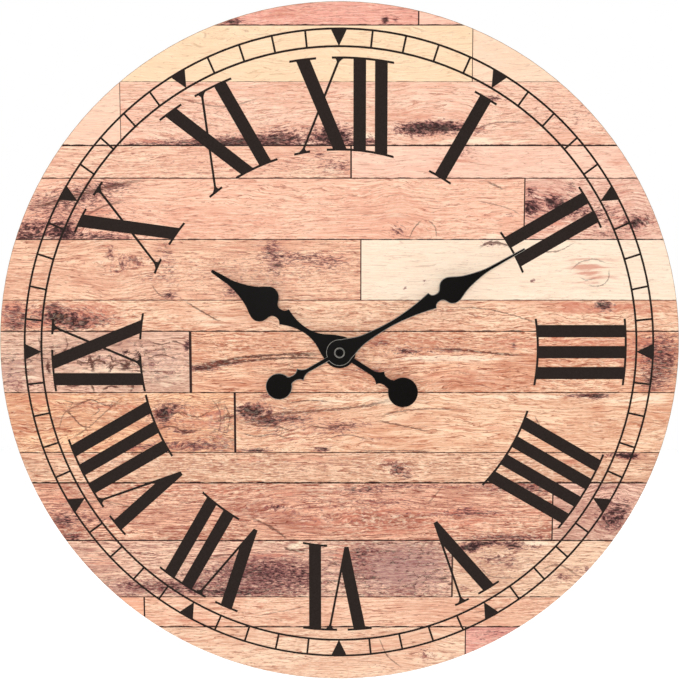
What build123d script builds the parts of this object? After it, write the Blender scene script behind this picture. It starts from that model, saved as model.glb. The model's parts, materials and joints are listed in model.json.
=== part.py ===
from build123d import *
import os
from math import acos, atan2, cos, degrees, pi, radians, sin, sqrt, tan

# A round board wall clock, 12 inches across, with a battery quartz movement on its back.
# Millimetres. +Z is up, +X is to the right of someone facing the dial, and the dial faces -Y.
# The origin is the point of the wall nail that carries the clock: y = 0 is the wall plane.
# All sizes across the dial are given about the arbor axis, in a view from the front.

# ---------------------------------------------------------------- driving dimensions
BOARD_R = 152.4
BOARD_T = 5.0
FACE_T = 0.3
INK_T = 0.1
CENTRE_HOLE_R = 4.2

HANGER_T = 1.0
GASKET_T = 1.0
GASKET_R = 9.0

CASE_W = 56.0
CASE_DEPTH = 16.0
CASE_WALL = 1.2
CASE_CORNER = 3.0

WASHER_T = 0.5
WASHER_R = 6.2
NUT_ACROSS_FLATS = 11.0
NUT_T = 2.0
TUBE_R = 4.0
TUBE_BORE_R = 2.68
HOUR_TUBE_R = 2.6
HOUR_BORE_R = 1.78
ARBOR_R = 1.7
ARBOR_BORE_R = 0.9
HAND_T = 0.5
HOUR_HAND_GAP = 4.6
MINUTE_HAND_GAP = 7.6

# the hour and minute at which the hands are drawn, in degrees clockwise from twelve
HOUR_HAND_ANGLE = 302.5
MINUTE_HAND_ANGLE = 60.7

# the nail slot in the hanger
NAIL_SLOT_R = 2.2
HEAD_ENTRY_R = 4.5
HEAD_ENTRY_DROP = 8.5
HANGER_W = 26.0
HANGER_TOP = 5.5
HANGER_BACK_GAP = 0.5
SHELF_TO_NAIL = 15.5
SHELF_OVER_CASE = 1.0

# ---------------------------------------------------------------- planes front to back
AXIS_Z = -(CASE_W / 2 + SHELF_OVER_CASE + HANGER_T + SHELF_TO_NAIL)
Y_CASE_FRONT = -CASE_DEPTH
Y_FLOOR = Y_CASE_FRONT + CASE_WALL
Y_COVER = -CASE_WALL
Y_HANGER_FRONT = Y_CASE_FRONT - HANGER_T
Y_BOARD_BACK = Y_HANGER_FRONT - GASKET_T
Y_BOARD_FRONT = Y_BOARD_BACK - BOARD_T
Y_FACE = Y_BOARD_FRONT - FACE_T
Y_WASHER = Y_FACE - WASHER_T
Y_NUT = Y_WASHER - NUT_T
Y_TUBE_END = Y_NUT - 0.4
Y_HOUR_HAND = Y_FACE - HOUR_HAND_GAP
Y_HOUR_TUBE_END = Y_HOUR_HAND - HAND_T - 0.3
Y_MINUTE_HAND = Y_FACE - MINUTE_HAND_GAP
Y_MINUTE_FRONT = Y_MINUTE_HAND - HAND_T
HAND_NUT_T = 1.1
Y_ARBOR_END = Y_MINUTE_FRONT - HAND_NUT_T - 0.1

# ---------------------------------------------------------------- dial print
NUMERAL_OUTER_R = 128.6
NUMERAL_INNER_R = 89.2
STROKE_W = 5.5
STROKE_PITCH = 9.43
HAIRLINE_W = 1.0
SERIF_T = 0.95
SERIF_OVERHANG = 2.8
TRACK_OUTER_R = 140.9
TRACK_INNER_R = 133.4
TRACK_LINE_W = 0.88
TRIANGLE_HALF_W = 3.6
BRACKET_HALF_W = 3.1
BRACKET_H = 3.2
# how far the print lies off the middle of the disc, to the right and upward
PRINT_OFFSET = (-0.25, -0.2)
FACE_MARGIN = 0.4

# ---------------------------------------------------------------- gear train
# wheel and pinion teeth, modules and centre distances
PRESSURE_ANGLE = radians(30)
ADDENDUM = 0.8
DEDENDUM = 1.05
BACKLASH = 0.05
CANNON_TEETH = 12
REVERSE_TEETH = 36
REVERSE_PINION_TEETH = 10
HOUR_TEETH = 40
SETTING_TEETH = 12
CENTRE_TEETH = 64
THIRD_PINION_TEETH = 8
THIRD_TEETH = 60
SECOND_PINION_TEETH = 8
SECOND_TEETH = 60
FIFTH_PINION_TEETH = 10
FIFTH_TEETH = 50
ROTOR_PINION_TEETH = 10
MOTION_DISTANCE = 8.64
TRAIN_DISTANCE = 10.8
FIFTH_DISTANCE = 10.5
ROTOR_DISTANCE = 8.4
PIVOT_R = 0.4
ARBOR_SHAFT_R = 0.6
RUNNING = 0.05
POST_R = 1.2

# levels inside the case, measured back from the inside of its front wall
HOUR_LEVEL = (0.3, 1.5)
MOTION_LEVEL = (2.0, 3.2)
CENTRE_LEVEL = (3.7, 4.7)
PLATE_LEVEL = (5.2, 6.2)
THIRD_LEVEL = (6.8, 7.8)
STATOR_LEVEL = (7.3, 8.1)
SECOND_LEVEL = (8.4, 9.4)
FIFTH_LEVEL = (10.0, 11.0)
COVER_LEVEL = CASE_DEPTH - 2 * CASE_WALL

# ---------------------------------------------------------------- battery bay
CELL_R = 7.0
SLEEVE_T = 0.2
CELL_LEFT = -24.4
CELL_RIGHT = 24.0
BUTTON_R = 2.75
BUTTON_L = 1.3
BAY_WALL_Z = -11.3
CELL_Z = -19.2
CELL_Y = Y_FLOOR + 0.15 + CELL_R + SLEEVE_T

KNOB_R = 5.2
KNOB_WELL_R = 6.2
KNOB_WELL_DEPTH = 2.6
KNOB_WELL_FLOOR = 0.8
SETTING_SHAFT_R = 1.0


def polar(distance, angle):
    """The point at a distance and an angle (degrees, anticlockwise from +X)."""
    return (distance * cos(radians(angle)), distance * sin(radians(angle)))


def shifted(point, step):
    return (point[0] + step[0], point[1] + step[1])


CENTRE_AXIS = (0.0, 0.0)
THIRD_AXIS = polar(TRAIN_DISTANCE, 135)
REVERSE_AXIS = polar(MOTION_DISTANCE, 45)
SETTING_AXIS = shifted(REVERSE_AXIS, polar(MOTION_DISTANCE, 17))
FIFTH_AXIS = polar(FIFTH_DISTANCE, 73.4)
ROTOR_AXIS = shifted(FIFTH_AXIS, polar(ROTOR_DISTANCE, 60))


# ---------------------------------------------------------------- shared helpers
def slab(sketch, back_y, front_y):
    """A flat sketch, drawn as seen from the front about the arbor axis, made solid between two planes."""
    plane = Plane(origin=(0, back_y, AXIS_Z), x_dir=(1, 0, 0), z_dir=(0, -1, 0))
    return extrude(plane * sketch, amount=back_y - front_y)


def level_slab(sketch, level):
    """A sketch made solid between two levels inside the case."""
    return slab(sketch, Y_FLOOR + level[1], Y_FLOOR + level[0])


def disc(radius, centre=CENTRE_AXIS):
    return Pos(*centre) * Circle(radius)


def ring(outer, inner, centre=CENTRE_AXIS):
    return Pos(*centre) * (Circle(outer) - Circle(inner))


def plate(left, bottom, right, top):
    """A rectangle given by its corners."""
    middle = Pos((left + right) / 2, (bottom + top) / 2)
    return middle * Rectangle(right - left, top - bottom)


def clockwise(sketch, angle):
    return Rot(0, 0, -angle) * sketch


def rod(radius, centre, back_t, front_t):
    """A round bar along the arbor direction, between two levels inside the case."""
    return level_slab(disc(radius, centre), (front_t, back_t))


# ---------------------------------------------------------------- gear teeth
def involute(base_r, radius):
    """How far an involute has turned from its base circle when it reaches a radius."""
    if radius <= base_r:
        return 0.0
    angle = acos(base_r / radius)
    return tan(angle) - angle


def gear(teeth, module, phase):
    """A toothed wheel outline with one tooth centred on the phase angle, in degrees."""
    pitch_r = module * teeth / 2
    base_r = pitch_r * cos(PRESSURE_ANGLE)
    tip_r = pitch_r + ADDENDUM * module
    root_r = pitch_r - DEDENDUM * module
    half_pitch = (pi * module / 2 - BACKLASH) / 2 / pitch_r + involute(base_r, pitch_r)
    start_r = max(base_r, root_r)
    steps = 4 if teeth < 20 else 2
    flank = [start_r + (tip_r - start_r) * i / (steps - 1) for i in range(steps)]
    points = []
    for tooth in range(teeth):
        middle = radians(phase) + 2 * pi * tooth / teeth
        if base_r > root_r:
            points.append((root_r, middle - half_pitch))
        points += [(r, middle - half_pitch + involute(base_r, r)) for r in flank]
        points += [(r, middle + half_pitch - involute(base_r, r)) for r in reversed(flank)]
        if base_r > root_r:
            points.append((root_r, middle + half_pitch))
    return make_face(Polyline(*[(r * cos(a), r * sin(a)) for r, a in points], close=True))


def direction(start, end):
    return degrees(atan2(end[1] - start[1], end[0] - start[0]))


def meshing_phase(driver_teeth, driver_phase, driver_axis, teeth, axis):
    """The phase that puts a gap of this gear where the driver has a tooth, on their line of centres."""
    line = direction(driver_axis, axis)
    pitch = 360 / driver_teeth
    offset = (driver_phase - line) % pitch
    return line + 180 + 180 / teeth - offset * driver_teeth / teeth


MOTION_MODULE = 2 * MOTION_DISTANCE / (CANNON_TEETH + REVERSE_TEETH)
HOUR_MODULE = 2 * MOTION_DISTANCE / (HOUR_TEETH + REVERSE_PINION_TEETH)
CENTRE_MODULE = 2 * TRAIN_DISTANCE / (CENTRE_TEETH + THIRD_PINION_TEETH)
THIRD_MODULE = 2 * TRAIN_DISTANCE / (THIRD_TEETH + SECOND_PINION_TEETH)
SECOND_MODULE = 2 * FIFTH_DISTANCE / (SECOND_TEETH + FIFTH_PINION_TEETH)
FIFTH_MODULE = 2 * ROTOR_DISTANCE / (FIFTH_TEETH + ROTOR_PINION_TEETH)

CANNON_PHASE = 0.0
REVERSE_PHASE = meshing_phase(CANNON_TEETH, CANNON_PHASE, CENTRE_AXIS, REVERSE_TEETH, REVERSE_AXIS)
SETTING_PHASE = meshing_phase(
    REVERSE_TEETH, REVERSE_PHASE, REVERSE_AXIS, SETTING_TEETH, SETTING_AXIS
)
HOUR_PHASE = meshing_phase(REVERSE_PINION_TEETH, 0.0, REVERSE_AXIS, HOUR_TEETH, CENTRE_AXIS)
THIRD_PINION_PHASE = meshing_phase(
    CENTRE_TEETH, 0.0, CENTRE_AXIS, THIRD_PINION_TEETH, THIRD_AXIS
)
SECOND_PINION_PHASE = meshing_phase(
    THIRD_TEETH, 0.0, THIRD_AXIS, SECOND_PINION_TEETH, CENTRE_AXIS
)
FIFTH_PINION_PHASE = meshing_phase(
    SECOND_TEETH, 0.0, CENTRE_AXIS, FIFTH_PINION_TEETH, FIFTH_AXIS
)
ROTOR_PINION_PHASE = meshing_phase(
    FIFTH_TEETH, 0.0, FIFTH_AXIS, ROTOR_PINION_TEETH, ROTOR_AXIS
)


def wheel_plate(teeth, module, phase, web_r, rim_r, spokes):
    """A wheel lightened by rounded windows between its spokes."""
    wheel = gear(teeth, module, phase)
    for i in range(spokes):
        window = Pos(*polar((web_r + rim_r) / 2, phase + 360 * (i + 0.5) / spokes))
        wheel -= window * Circle((rim_r - web_r) / 2)
    return wheel


# ---------------------------------------------------------------- dial
def dial_board():
    board = slab(disc(BOARD_R) - disc(CENTRE_HOLE_R), Y_BOARD_BACK, Y_BOARD_FRONT)
    rims = board.edges().filter_by(GeomType.CIRCLE).filter_by(lambda e: e.radius > BOARD_R - 1)
    return chamfer(rims, length=0.3)


def face_print():
    return slab(disc(BOARD_R - FACE_MARGIN) - disc(CENTRE_HOLE_R), Y_BOARD_FRONT, Y_FACE)


def on_arc(across, radius):
    """The point of a circle about the arbor, at a distance clockwise from the numeral's middle line."""
    return (across, sqrt(radius**2 - across**2))


def serif(start, end, radius):
    """A thin curved line that caps strokes, between two distances across the numeral."""
    inner = radius - SERIF_T / 2
    outer = radius + SERIF_T / 2
    middle = (start + end) / 2
    edges = [
        ThreePointArc(on_arc(start, outer), on_arc(middle, outer), on_arc(end, outer)),
        Line(on_arc(end, outer), on_arc(end, inner)),
        ThreePointArc(on_arc(end, inner), on_arc(middle, inner), on_arc(start, inner)),
        Line(on_arc(start, inner), on_arc(start, outer)),
    ]
    return make_face(edges)


def stroke(outer, inner, width):
    """A straight stroke from the outer circle to the inner one, at these distances across."""
    half = width / 2
    corners = [
        on_arc(outer - half, NUMERAL_OUTER_R),
        on_arc(outer + half, NUMERAL_OUTER_R),
        on_arc(inner + half, NUMERAL_INNER_R),
        on_arc(inner - half, NUMERAL_INNER_R),
    ]
    return make_face(Polyline(*corners, close=True))


def bracket(across, lean, radius, inward):
    """The small curved foot where a hairline meets its serif; inward is -1 at the outer circle."""
    half = HAIRLINE_W / 2
    sides = []
    for side in (-1, 1):
        corner = on_arc(across + side * BRACKET_HALF_W, radius)
        base = on_arc(across + side * half, radius)
        top = (base[0] + lean * BRACKET_H, base[1] + inward * BRACKET_H)
        hollow = tuple((2 * c + 2 * t + 3 * b) / 7 for c, t, b in zip(corner, top, base))
        sides.append((corner, hollow, top))
    (left, left_hollow, left_top), (right, right_hollow, right_top) = sides
    edges = [
        Line(left, right),
        ThreePointArc(right, right_hollow, right_top),
        Line(right_top, left_top),
        ThreePointArc(left_top, left_hollow, left),
    ]
    return make_face(edges)


V_LEAN = 6.1
V_SPREAD = 14.4
X_LEAN = 16.3
X_SPREAD = 16.2
V_TO_BAR = 20.5
X_TO_BAR = 24.9
STROKE_REACH = STROKE_W / 2 + SERIF_OVERHANG
HAIR_REACH = 3.5


def bars(first, count):
    """The upright strokes of a numeral, with the spans of their serifs: marks, outer and inner."""
    middles = [first + i * STROKE_PITCH for i in range(count)]
    marks = [stroke(middle, middle, STROKE_W) for middle in middles]
    span = (first - STROKE_REACH, middles[-1] + STROKE_REACH)
    return marks, [span], [span]


def letter_v(thick):
    """V: a thick stroke and a hairline that meet in a blunt point at the inner circle."""
    point = thick + V_LEAN
    hair = thick + V_SPREAD
    half = STROKE_W / 2
    inner_r = NUMERAL_INNER_R + 0.3
    blunt = 0.95
    height = NUMERAL_OUTER_R - inner_r
    slope = (V_LEAN + half - blunt) / height
    hair_slope = (hair - point - blunt) / height
    fork = (hair - HAIRLINE_W - thick - half) / (slope + hair_slope)
    corners = [
        on_arc(thick - half, NUMERAL_OUTER_R),
        on_arc(thick + half, NUMERAL_OUTER_R),
        (thick + half + slope * fork, NUMERAL_OUTER_R - fork),
        on_arc(hair - HAIRLINE_W, NUMERAL_OUTER_R),
        on_arc(hair, NUMERAL_OUTER_R),
        (point + blunt, inner_r),
        (point - blunt, inner_r),
    ]
    hair_middle = hair - HAIRLINE_W / 2
    marks = [
        make_face(Polyline(*corners, close=True)),
        bracket(hair_middle, -hair_slope, NUMERAL_OUTER_R, -1),
    ]
    outer = [
        (thick - STROKE_REACH, thick + STROKE_REACH),
        (hair_middle - HAIR_REACH, hair_middle + HAIR_REACH),
    ]
    return marks, outer, []


def letter_x(thick):
    """X: a thick stroke from outer left to inner right, crossed by a hairline."""
    hair = thick + X_SPREAD
    thick_inner = thick + X_LEAN
    hair_inner = thick - 0.4
    slope = (hair - hair_inner) / (NUMERAL_OUTER_R - NUMERAL_INNER_R)
    reach = STROKE_REACH + 0.3
    marks = [
        stroke(thick, thick_inner, STROKE_W + 0.5),
        stroke(hair, hair_inner, HAIRLINE_W + 0.1),
        bracket(hair, -slope, NUMERAL_OUTER_R, -1),
        bracket(hair_inner, slope, NUMERAL_INNER_R, 1),
    ]
    outer = [(thick - reach, thick + reach), (hair - HAIR_REACH, hair + HAIR_REACH)]
    inner = [
        (hair_inner - HAIR_REACH, hair_inner + HAIR_REACH),
        (thick_inner - reach, thick_inner + reach),
    ]
    return marks, outer, inner


def merged(spans):
    """The same spans with those that overlap joined into one."""
    joined = []
    for start, end in sorted(spans):
        if joined and start <= joined[-1][1] + 0.1:
            joined[-1][1] = max(end, joined[-1][1])
        else:
            joined.append([start, end])
    return joined


def strokes_of(hour):
    """The letters of one numeral, each as its marks and serif spans."""
    if hour <= 4:
        last = (hour - 1) * (STROKE_PITCH / 2 + 0.1)
        return [bars(last - (hour - 1) * STROKE_PITCH, hour)]
    if hour <= 8:
        thick = -5.2 - 4.35 * (hour - 5)
        letters = [letter_v(thick)]
        if hour > 5:
            letters.append(bars(thick + V_TO_BAR, hour - 5))
        return letters
    if hour == 9:
        return [bars(-12.4, 1), letter_x(-4.9)]
    thick = -6.9 - 4.45 * (hour - 10)
    letters = [letter_x(thick)]
    if hour > 10:
        letters.append(bars(thick + X_TO_BAR, hour - 10))
    return letters


def numeral(hour):
    """One Roman numeral with its top outward, drawn at twelve o'clock."""
    faces, outer, inner = [], [], []
    for marks, outer_spans, inner_spans in strokes_of(hour):
        faces += marks
        outer += outer_spans
        inner += inner_spans
    faces += [serif(start, end, NUMERAL_OUTER_R) for start, end in merged(outer)]
    faces += [serif(start, end, NUMERAL_INNER_R) for start, end in merged(inner)]
    return Sketch() + faces


def numerals():
    """All twelve numerals, as thin printed solids that lie on the face."""
    marks = []
    for hour in range(1, 13):
        mark = Pos(*PRINT_OFFSET) * clockwise(numeral(hour), 30 * hour)
        printed = slab(mark, Y_FACE, Y_FACE - INK_T)
        marks += printed.solids()
    return Compound(children=marks)


def minute_track():
    """Two rings joined by a tick at each minute, with a solid triangle at each hour."""
    half = TRACK_LINE_W / 2
    track = ring(TRACK_OUTER_R + half, TRACK_OUTER_R - half)
    track += ring(TRACK_INNER_R + half, TRACK_INNER_R - half)
    tick = plate(-half, TRACK_INNER_R, half, TRACK_OUTER_R)
    base_r = sqrt(TRACK_OUTER_R**2 - TRIANGLE_HALF_W**2)
    corners = [(-TRIANGLE_HALF_W, base_r), (TRIANGLE_HALF_W, base_r), (0, TRACK_INNER_R)]
    triangle = make_face(Polyline(*corners, close=True))
    for minute in range(60):
        mark = tick if minute % 5 else triangle
        track += clockwise(mark, 6 * minute)
    return slab(Pos(*PRINT_OFFSET) * track, Y_FACE, Y_FACE - INK_T)


# ---------------------------------------------------------------- hands
def mirrored_outline(runs):
    """A face from smooth runs of (along, half width) points on one side, and their mirror image."""
    edges = []
    for points in runs:
        side = [(half, along) for along, half in points]
        other = [(-half, along) for along, half in points]
        if len(points) == 2:
            edges += [Line(*side), Line(*other)]
        else:
            edges += [Spline(*side), Spline(*other)]
    first, last = runs[0][0], runs[-1][-1]
    edges.append(Line((first[1], first[0]), (-first[1], first[0])))
    edges.append(Line((last[1], last[0]), (-last[1], last[0])))
    return make_face(edges)


def spade_hand(blade, tail, hub_r, disc_at, disc_r, hole_r):
    """A flat hand: blade above the hub, tail and counterpoise disc below it."""
    outline = mirrored_outline(blade) + mirrored_outline(tail) + Circle(hub_r)
    outline += Pos(0, disc_at) * Circle(disc_r)
    return outline - Circle(hole_r)


def hour_outline():
    blade = [
        [(3.0, 6.4), (6.0, 5.3), (10.0, 3.1), (14.0, 1.65), (18.0, 1.2), (23.0, 1.75), (29.1, 4.0)],
        [(29.1, 4.0), (30.2, 2.55), (32.0, 2.05)],
        [(32.0, 2.05), (34.2, 2.9), (35.9, 6.4), (39.3, 8.3), (45.0, 5.6), (52.0, 2.55), (60.0, 1.15)],
        [(60.0, 1.15), (66.8, 0.65)],
    ]
    tail = [
        [(-5.0, 1.15), (-16.0, 1.15)],
        [(-16.0, 1.15), (-19.4, 1.75), (-21.5, 3.5)],
        [(-21.5, 3.5), (-22.6, 2.2), (-24.6, 1.8), (-26.6, 2.1), (-28.6, 3.6)],
    ]
    return spade_hand(blade, tail, 7.2, -33.5, 6.65, HOUR_TUBE_R + 0.4)


def minute_outline():
    blade = [
        [(3.4, 4.8), (6.0, 3.9), (10.0, 2.5), (16.0, 1.6), (25.0, 1.12), (36.0, 1.9), (46.8, 3.9)],
        [(46.8, 3.9), (47.7, 2.3), (49.2, 1.85)],
        [(49.2, 1.85), (51.3, 2.5), (52.8, 4.7), (55.8, 6.0), (61.0, 4.1), (68.0, 1.9), (76.0, 0.8)],
        [(76.0, 0.8), (92.7, 0.5)],
    ]
    tail = [
        [(-4.0, 0.95), (-15.0, 0.95)],
        [(-15.0, 0.95), (-18.2, 1.6), (-19.9, 3.2)],
        [(-19.9, 3.2), (-21.0, 1.9), (-23.2, 1.35), (-25.0, 1.7), (-26.8, 3.2)],
    ]
    return spade_hand(blade, tail, 5.85, -30.7, 5.85, ARBOR_R + 0.4)


def hour_hand():
    return slab(clockwise(hour_outline(), HOUR_HAND_ANGLE), Y_HOUR_HAND, Y_HOUR_HAND - HAND_T)


def minute_hand():
    return slab(clockwise(minute_outline(), MINUTE_HAND_ANGLE), Y_MINUTE_HAND, Y_MINUTE_FRONT)


def hand_bush(bore_r, hand_back, length_behind, flange_r):
    """A flanged collet that holds a hand on its shaft."""
    collar = slab(ring(bore_r + 0.4, bore_r), hand_back + length_behind, hand_back - HAND_T)
    flange = slab(ring(flange_r, bore_r + 0.4), hand_back + 0.5, hand_back)
    return collar + flange


def hour_hand_bush():
    return hand_bush(HOUR_TUBE_R, Y_HOUR_HAND, 1.4, 4.6)


def minute_hand_bush():
    return hand_bush(ARBOR_R, Y_MINUTE_HAND, 1.2, 3.4)


def hand_nut():
    """The open nut that holds the minute hand, with the arbor's end showing through it."""
    nut = slab(ring(2.4, ARBOR_R), Y_MINUTE_FRONT, Y_MINUTE_FRONT - HAND_NUT_T)
    rim = nut.edges().filter_by(GeomType.CIRCLE)
    rim = rim.filter_by(lambda e: e.radius > 2.3 and e.center().Y < Y_MINUTE_FRONT - 0.5)
    return chamfer(rim, length=0.25)


# ---------------------------------------------------------------- what clamps the movement
def dial_washer():
    return slab(ring(WASHER_R, TUBE_R + 0.1), Y_FACE, Y_WASHER)


def mounting_nut():
    hexagon = RegularPolygon(NUT_ACROSS_FLATS / 2, 6, major_radius=False)
    return slab(hexagon - Circle(TUBE_R), Y_WASHER, Y_NUT)


def rubber_gasket():
    return slab(ring(GASKET_R, TUBE_R + 0.1), Y_HANGER_FRONT, Y_BOARD_BACK)


def hanger():
    """A bent steel plate: clamped round the tube, over the case top, and up behind to the nail."""
    shelf_top = -SHELF_TO_NAIL
    shelf_bottom = shelf_top - HANGER_T
    half = HANGER_W / 2
    back = -HANGER_BACK_GAP
    tongue = plate(-half, 0, half, shelf_top - AXIS_Z) + disc(half)
    tongue -= disc(TUBE_R + 0.1)
    clamped = slab(tongue, Y_CASE_FRONT, Y_HANGER_FRONT)
    shelf = plate(-half, shelf_bottom - AXIS_Z, half, shelf_top - AXIS_Z)
    shelf = slab(shelf, back, Y_CASE_FRONT)
    upright = plate(-half, shelf_bottom - AXIS_Z, half, HANGER_TOP - AXIS_Z)
    corners = upright.vertices().group_by(Axis.Y)[-1]
    upright = fillet(corners, radius=6)
    nail = (0, -AXIS_Z)
    entry = (0, -AXIS_Z - HEAD_ENTRY_DROP)
    upright -= disc(NAIL_SLOT_R, nail) + disc(HEAD_ENTRY_R, entry)
    upright -= plate(-NAIL_SLOT_R, entry[1], NAIL_SLOT_R, nail[1])
    return clamped + shelf + slab(upright, back, back - HANGER_T)


# ---------------------------------------------------------------- movement case
PLATE_POSTS = [(-16.5, -7.0), (16.5, -7.0), (-16.5, 16.5), (14.5, 20.0)]
BOARD_POSTS = [(21.0, -6.5), (21.0, 0.5)]


def case_outline():
    return RectangleRounded(CASE_W, CASE_W, CASE_CORNER)


def case_inside():
    inner = CASE_W - 2 * CASE_WALL
    return RectangleRounded(inner, inner, CASE_CORNER - CASE_WALL)


def case_front():
    """The front shell: front wall, side walls, battery bay, threaded tube and the posts inside."""
    shell = slab(case_outline(), Y_COVER, Y_CASE_FRONT) - slab(case_inside(), Y_COVER, Y_FLOOR)
    half = CASE_W / 2
    divider = plate(-half + CASE_WALL, BAY_WALL_Z, half - CASE_WALL, BAY_WALL_Z + CASE_WALL)
    for side in (-1, 1):
        divider -= Pos(side * (half - CASE_WALL - 0.6), BAY_WALL_Z + CASE_WALL / 2) * Rectangle(1.2, 3)
    shell += slab(divider, Y_COVER, Y_FLOOR)
    shell += slab(disc(TUBE_R), Y_CASE_FRONT, Y_TUBE_END)
    for post in PLATE_POSTS:
        shell += rod(1.5, post, PLATE_LEVEL[0], 0)
        shell += rod(0.7, post, PLATE_LEVEL[1] + 0.3, 0)
    for post in BOARD_POSTS:
        shell += rod(POST_R, post, SECOND_LEVEL[1] + 0.1, 0)
    shell += rod(POST_R, THIRD_AXIS, MOTION_LEVEL[1], 0)
    shell += rod(0.8, REVERSE_AXIS, MOTION_LEVEL[1] + 0.3, 0)
    shell += rod(1.8, SETTING_AXIS, MOTION_LEVEL[0] - 0.3, 0)
    shell -= rod(PIVOT_R + RUNNING, THIRD_AXIS, MOTION_LEVEL[1], 0.8)
    shell -= rod(SETTING_SHAFT_R + RUNNING, SETTING_AXIS, MOTION_LEVEL[0], 0.2)
    shell -= slab(disc(TUBE_BORE_R), Y_FLOOR, Y_TUBE_END)
    for cut in range(3):
        groove = Y_NUT - 0.05 + 0.9 * cut
        shell -= slab(ring(TUBE_R + 1, TUBE_R - 0.25), groove, groove - 0.3)
    return shell


def case_back():
    """The rear cover, with the knob's well, its bearings and four clips; the battery bay stays open."""
    half = CASE_W / 2
    half_inside = half - CASE_WALL
    lid = case_outline() & plate(-half, BAY_WALL_Z, half, half)
    cover = slab(lid, 0, Y_COVER)
    well_back = Y_FLOOR + COVER_LEVEL
    cover += slab(disc(KNOB_WELL_R + 0.9, SETTING_AXIS), 0, -KNOB_WELL_DEPTH - KNOB_WELL_FLOOR)
    cover -= slab(disc(KNOB_WELL_R, SETTING_AXIS), 0, -KNOB_WELL_DEPTH)
    cover -= slab(disc(SETTING_SHAFT_R + RUNNING, SETTING_AXIS), 0, Y_FLOOR + FIFTH_LEVEL[0])
    bearings = [(CENTRE_AXIS, 9.8), (THIRD_AXIS, 8.6), (FIFTH_AXIS, 11.5), (ROTOR_AXIS, 11.5)]
    for axis, start in bearings:
        cover += slab(disc(POST_R, axis), well_back, Y_FLOOR + start)
        cover -= slab(disc(PIVOT_R + RUNNING, axis), -0.6, Y_FLOOR + start)
    for side in (-1, 1):
        for height in (-4.0, 18.0):
            edge = side * (half_inside - 0.5)
            clip = plate(edge - 0.5, height - 3, edge + 0.5, height + 3)
            cover += slab(clip, Y_COVER, Y_COVER - 4)
    return cover


def train_plate():
    """The middle plate that carries the arbors, cut away round the coil."""
    outline = plate(-19, -9.3, 19, 19.2) + plate(3.4, 19.2, 19, 22.5)
    for post in PLATE_POSTS:
        outline -= disc(0.7, post)
    outline -= disc(ARBOR_SHAFT_R + 0.4, THIRD_AXIS)
    for axis in (CENTRE_AXIS, FIFTH_AXIS, ROTOR_AXIS):
        outline -= disc(PIVOT_R + RUNNING, axis)
    outline -= disc(SETTING_SHAFT_R + 0.4, SETTING_AXIS)
    outline -= Pos(-12, -4) * Rectangle(8, 5) + Pos(12, -4) * Rectangle(4, 5)
    return level_slab(outline, PLATE_LEVEL)


# ---------------------------------------------------------------- motion work
def stepped_arbor(axis, front_pivot, shoulder_front, shoulder_back, back_pivot):
    """A thin arbor with a pivot at each end, between levels inside the case."""
    body = rod(ARBOR_SHAFT_R, axis, shoulder_back, shoulder_front)
    return body + rod(PIVOT_R, axis, back_pivot, front_pivot)


def minute_arbor():
    """The hollow-ended arbor that carries the minute hand, with the cannon pinion cut on it."""
    shaft = slab(disc(ARBOR_R), Y_FLOOR + CENTRE_LEVEL[1] + 0.2, Y_ARBOR_END)
    pinion = level_slab(gear(CANNON_TEETH, MOTION_MODULE, CANNON_PHASE), MOTION_LEVEL)
    bore = slab(disc(ARBOR_BORE_R), Y_ARBOR_END + 4, Y_ARBOR_END)
    return shaft + pinion - bore


def centre_wheel():
    wheel = wheel_plate(CENTRE_TEETH, CENTRE_MODULE, 0.0, 3.4, 7.6, 5)
    return level_slab(wheel - disc(ARBOR_R), CENTRE_LEVEL)


def hour_wheel():
    """The hour wheel and its long tube, which turns inside the threaded tube."""
    wheel = level_slab(gear(HOUR_TEETH, HOUR_MODULE, HOUR_PHASE), HOUR_LEVEL)
    tube = slab(disc(HOUR_TUBE_R), Y_FLOOR + HOUR_LEVEL[0], Y_HOUR_TUBE_END)
    bore = slab(disc(HOUR_BORE_R), Y_FLOOR + HOUR_LEVEL[1] + 1, Y_HOUR_TUBE_END)
    return wheel + tube - bore


def reverse_wheel():
    """The wheel driven by the cannon pinion, and the pinion on it that drives the hour wheel."""
    wheel = level_slab(gear(REVERSE_TEETH, MOTION_MODULE, REVERSE_PHASE), MOTION_LEVEL)
    pinion = gear(REVERSE_PINION_TEETH, HOUR_MODULE, 0.0)
    wheel = Pos(REVERSE_AXIS[0], 0, REVERSE_AXIS[1]) * wheel
    pinion = level_slab(pinion, (HOUR_LEVEL[0], MOTION_LEVEL[0]))
    pinion = Pos(REVERSE_AXIS[0], 0, REVERSE_AXIS[1]) * pinion
    bore = rod(0.8 + RUNNING, REVERSE_AXIS, MOTION_LEVEL[1], 0)
    return wheel + pinion - bore


def setting_pinion():
    outline = gear(SETTING_TEETH, MOTION_MODULE, SETTING_PHASE) - disc(SETTING_SHAFT_R)
    return Pos(SETTING_AXIS[0], 0, SETTING_AXIS[1]) * level_slab(outline, MOTION_LEVEL)


def setting_knob():
    """The finger wheel in the cover's well, on the shaft that carries the setting pinion."""
    cap = Circle(KNOB_R)
    for i in range(18):
        cap -= Pos(*polar(KNOB_R + 0.25, 20 * i)) * Circle(0.55)
    knob = slab(Pos(*SETTING_AXIS) * cap, -0.3, -KNOB_WELL_DEPTH + 0.3)
    for turn in (0, 180):
        pointer = Rot(0, 0, turn) * Polygon((-1.6, 1.4), (1.6, 1.4), (0, 3.6), align=None)
        knob -= slab(Pos(*SETTING_AXIS) * pointer, -0.3, -0.7)
    shaft = slab(disc(SETTING_SHAFT_R, SETTING_AXIS), -KNOB_WELL_DEPTH + 0.3, Y_FLOOR + 0.3)
    return knob + shaft


# ---------------------------------------------------------------- going train
def placed_gear(teeth, module, phase, axis, level):
    return Pos(axis[0], 0, axis[1]) * level_slab(gear(teeth, module, phase), level)


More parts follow.
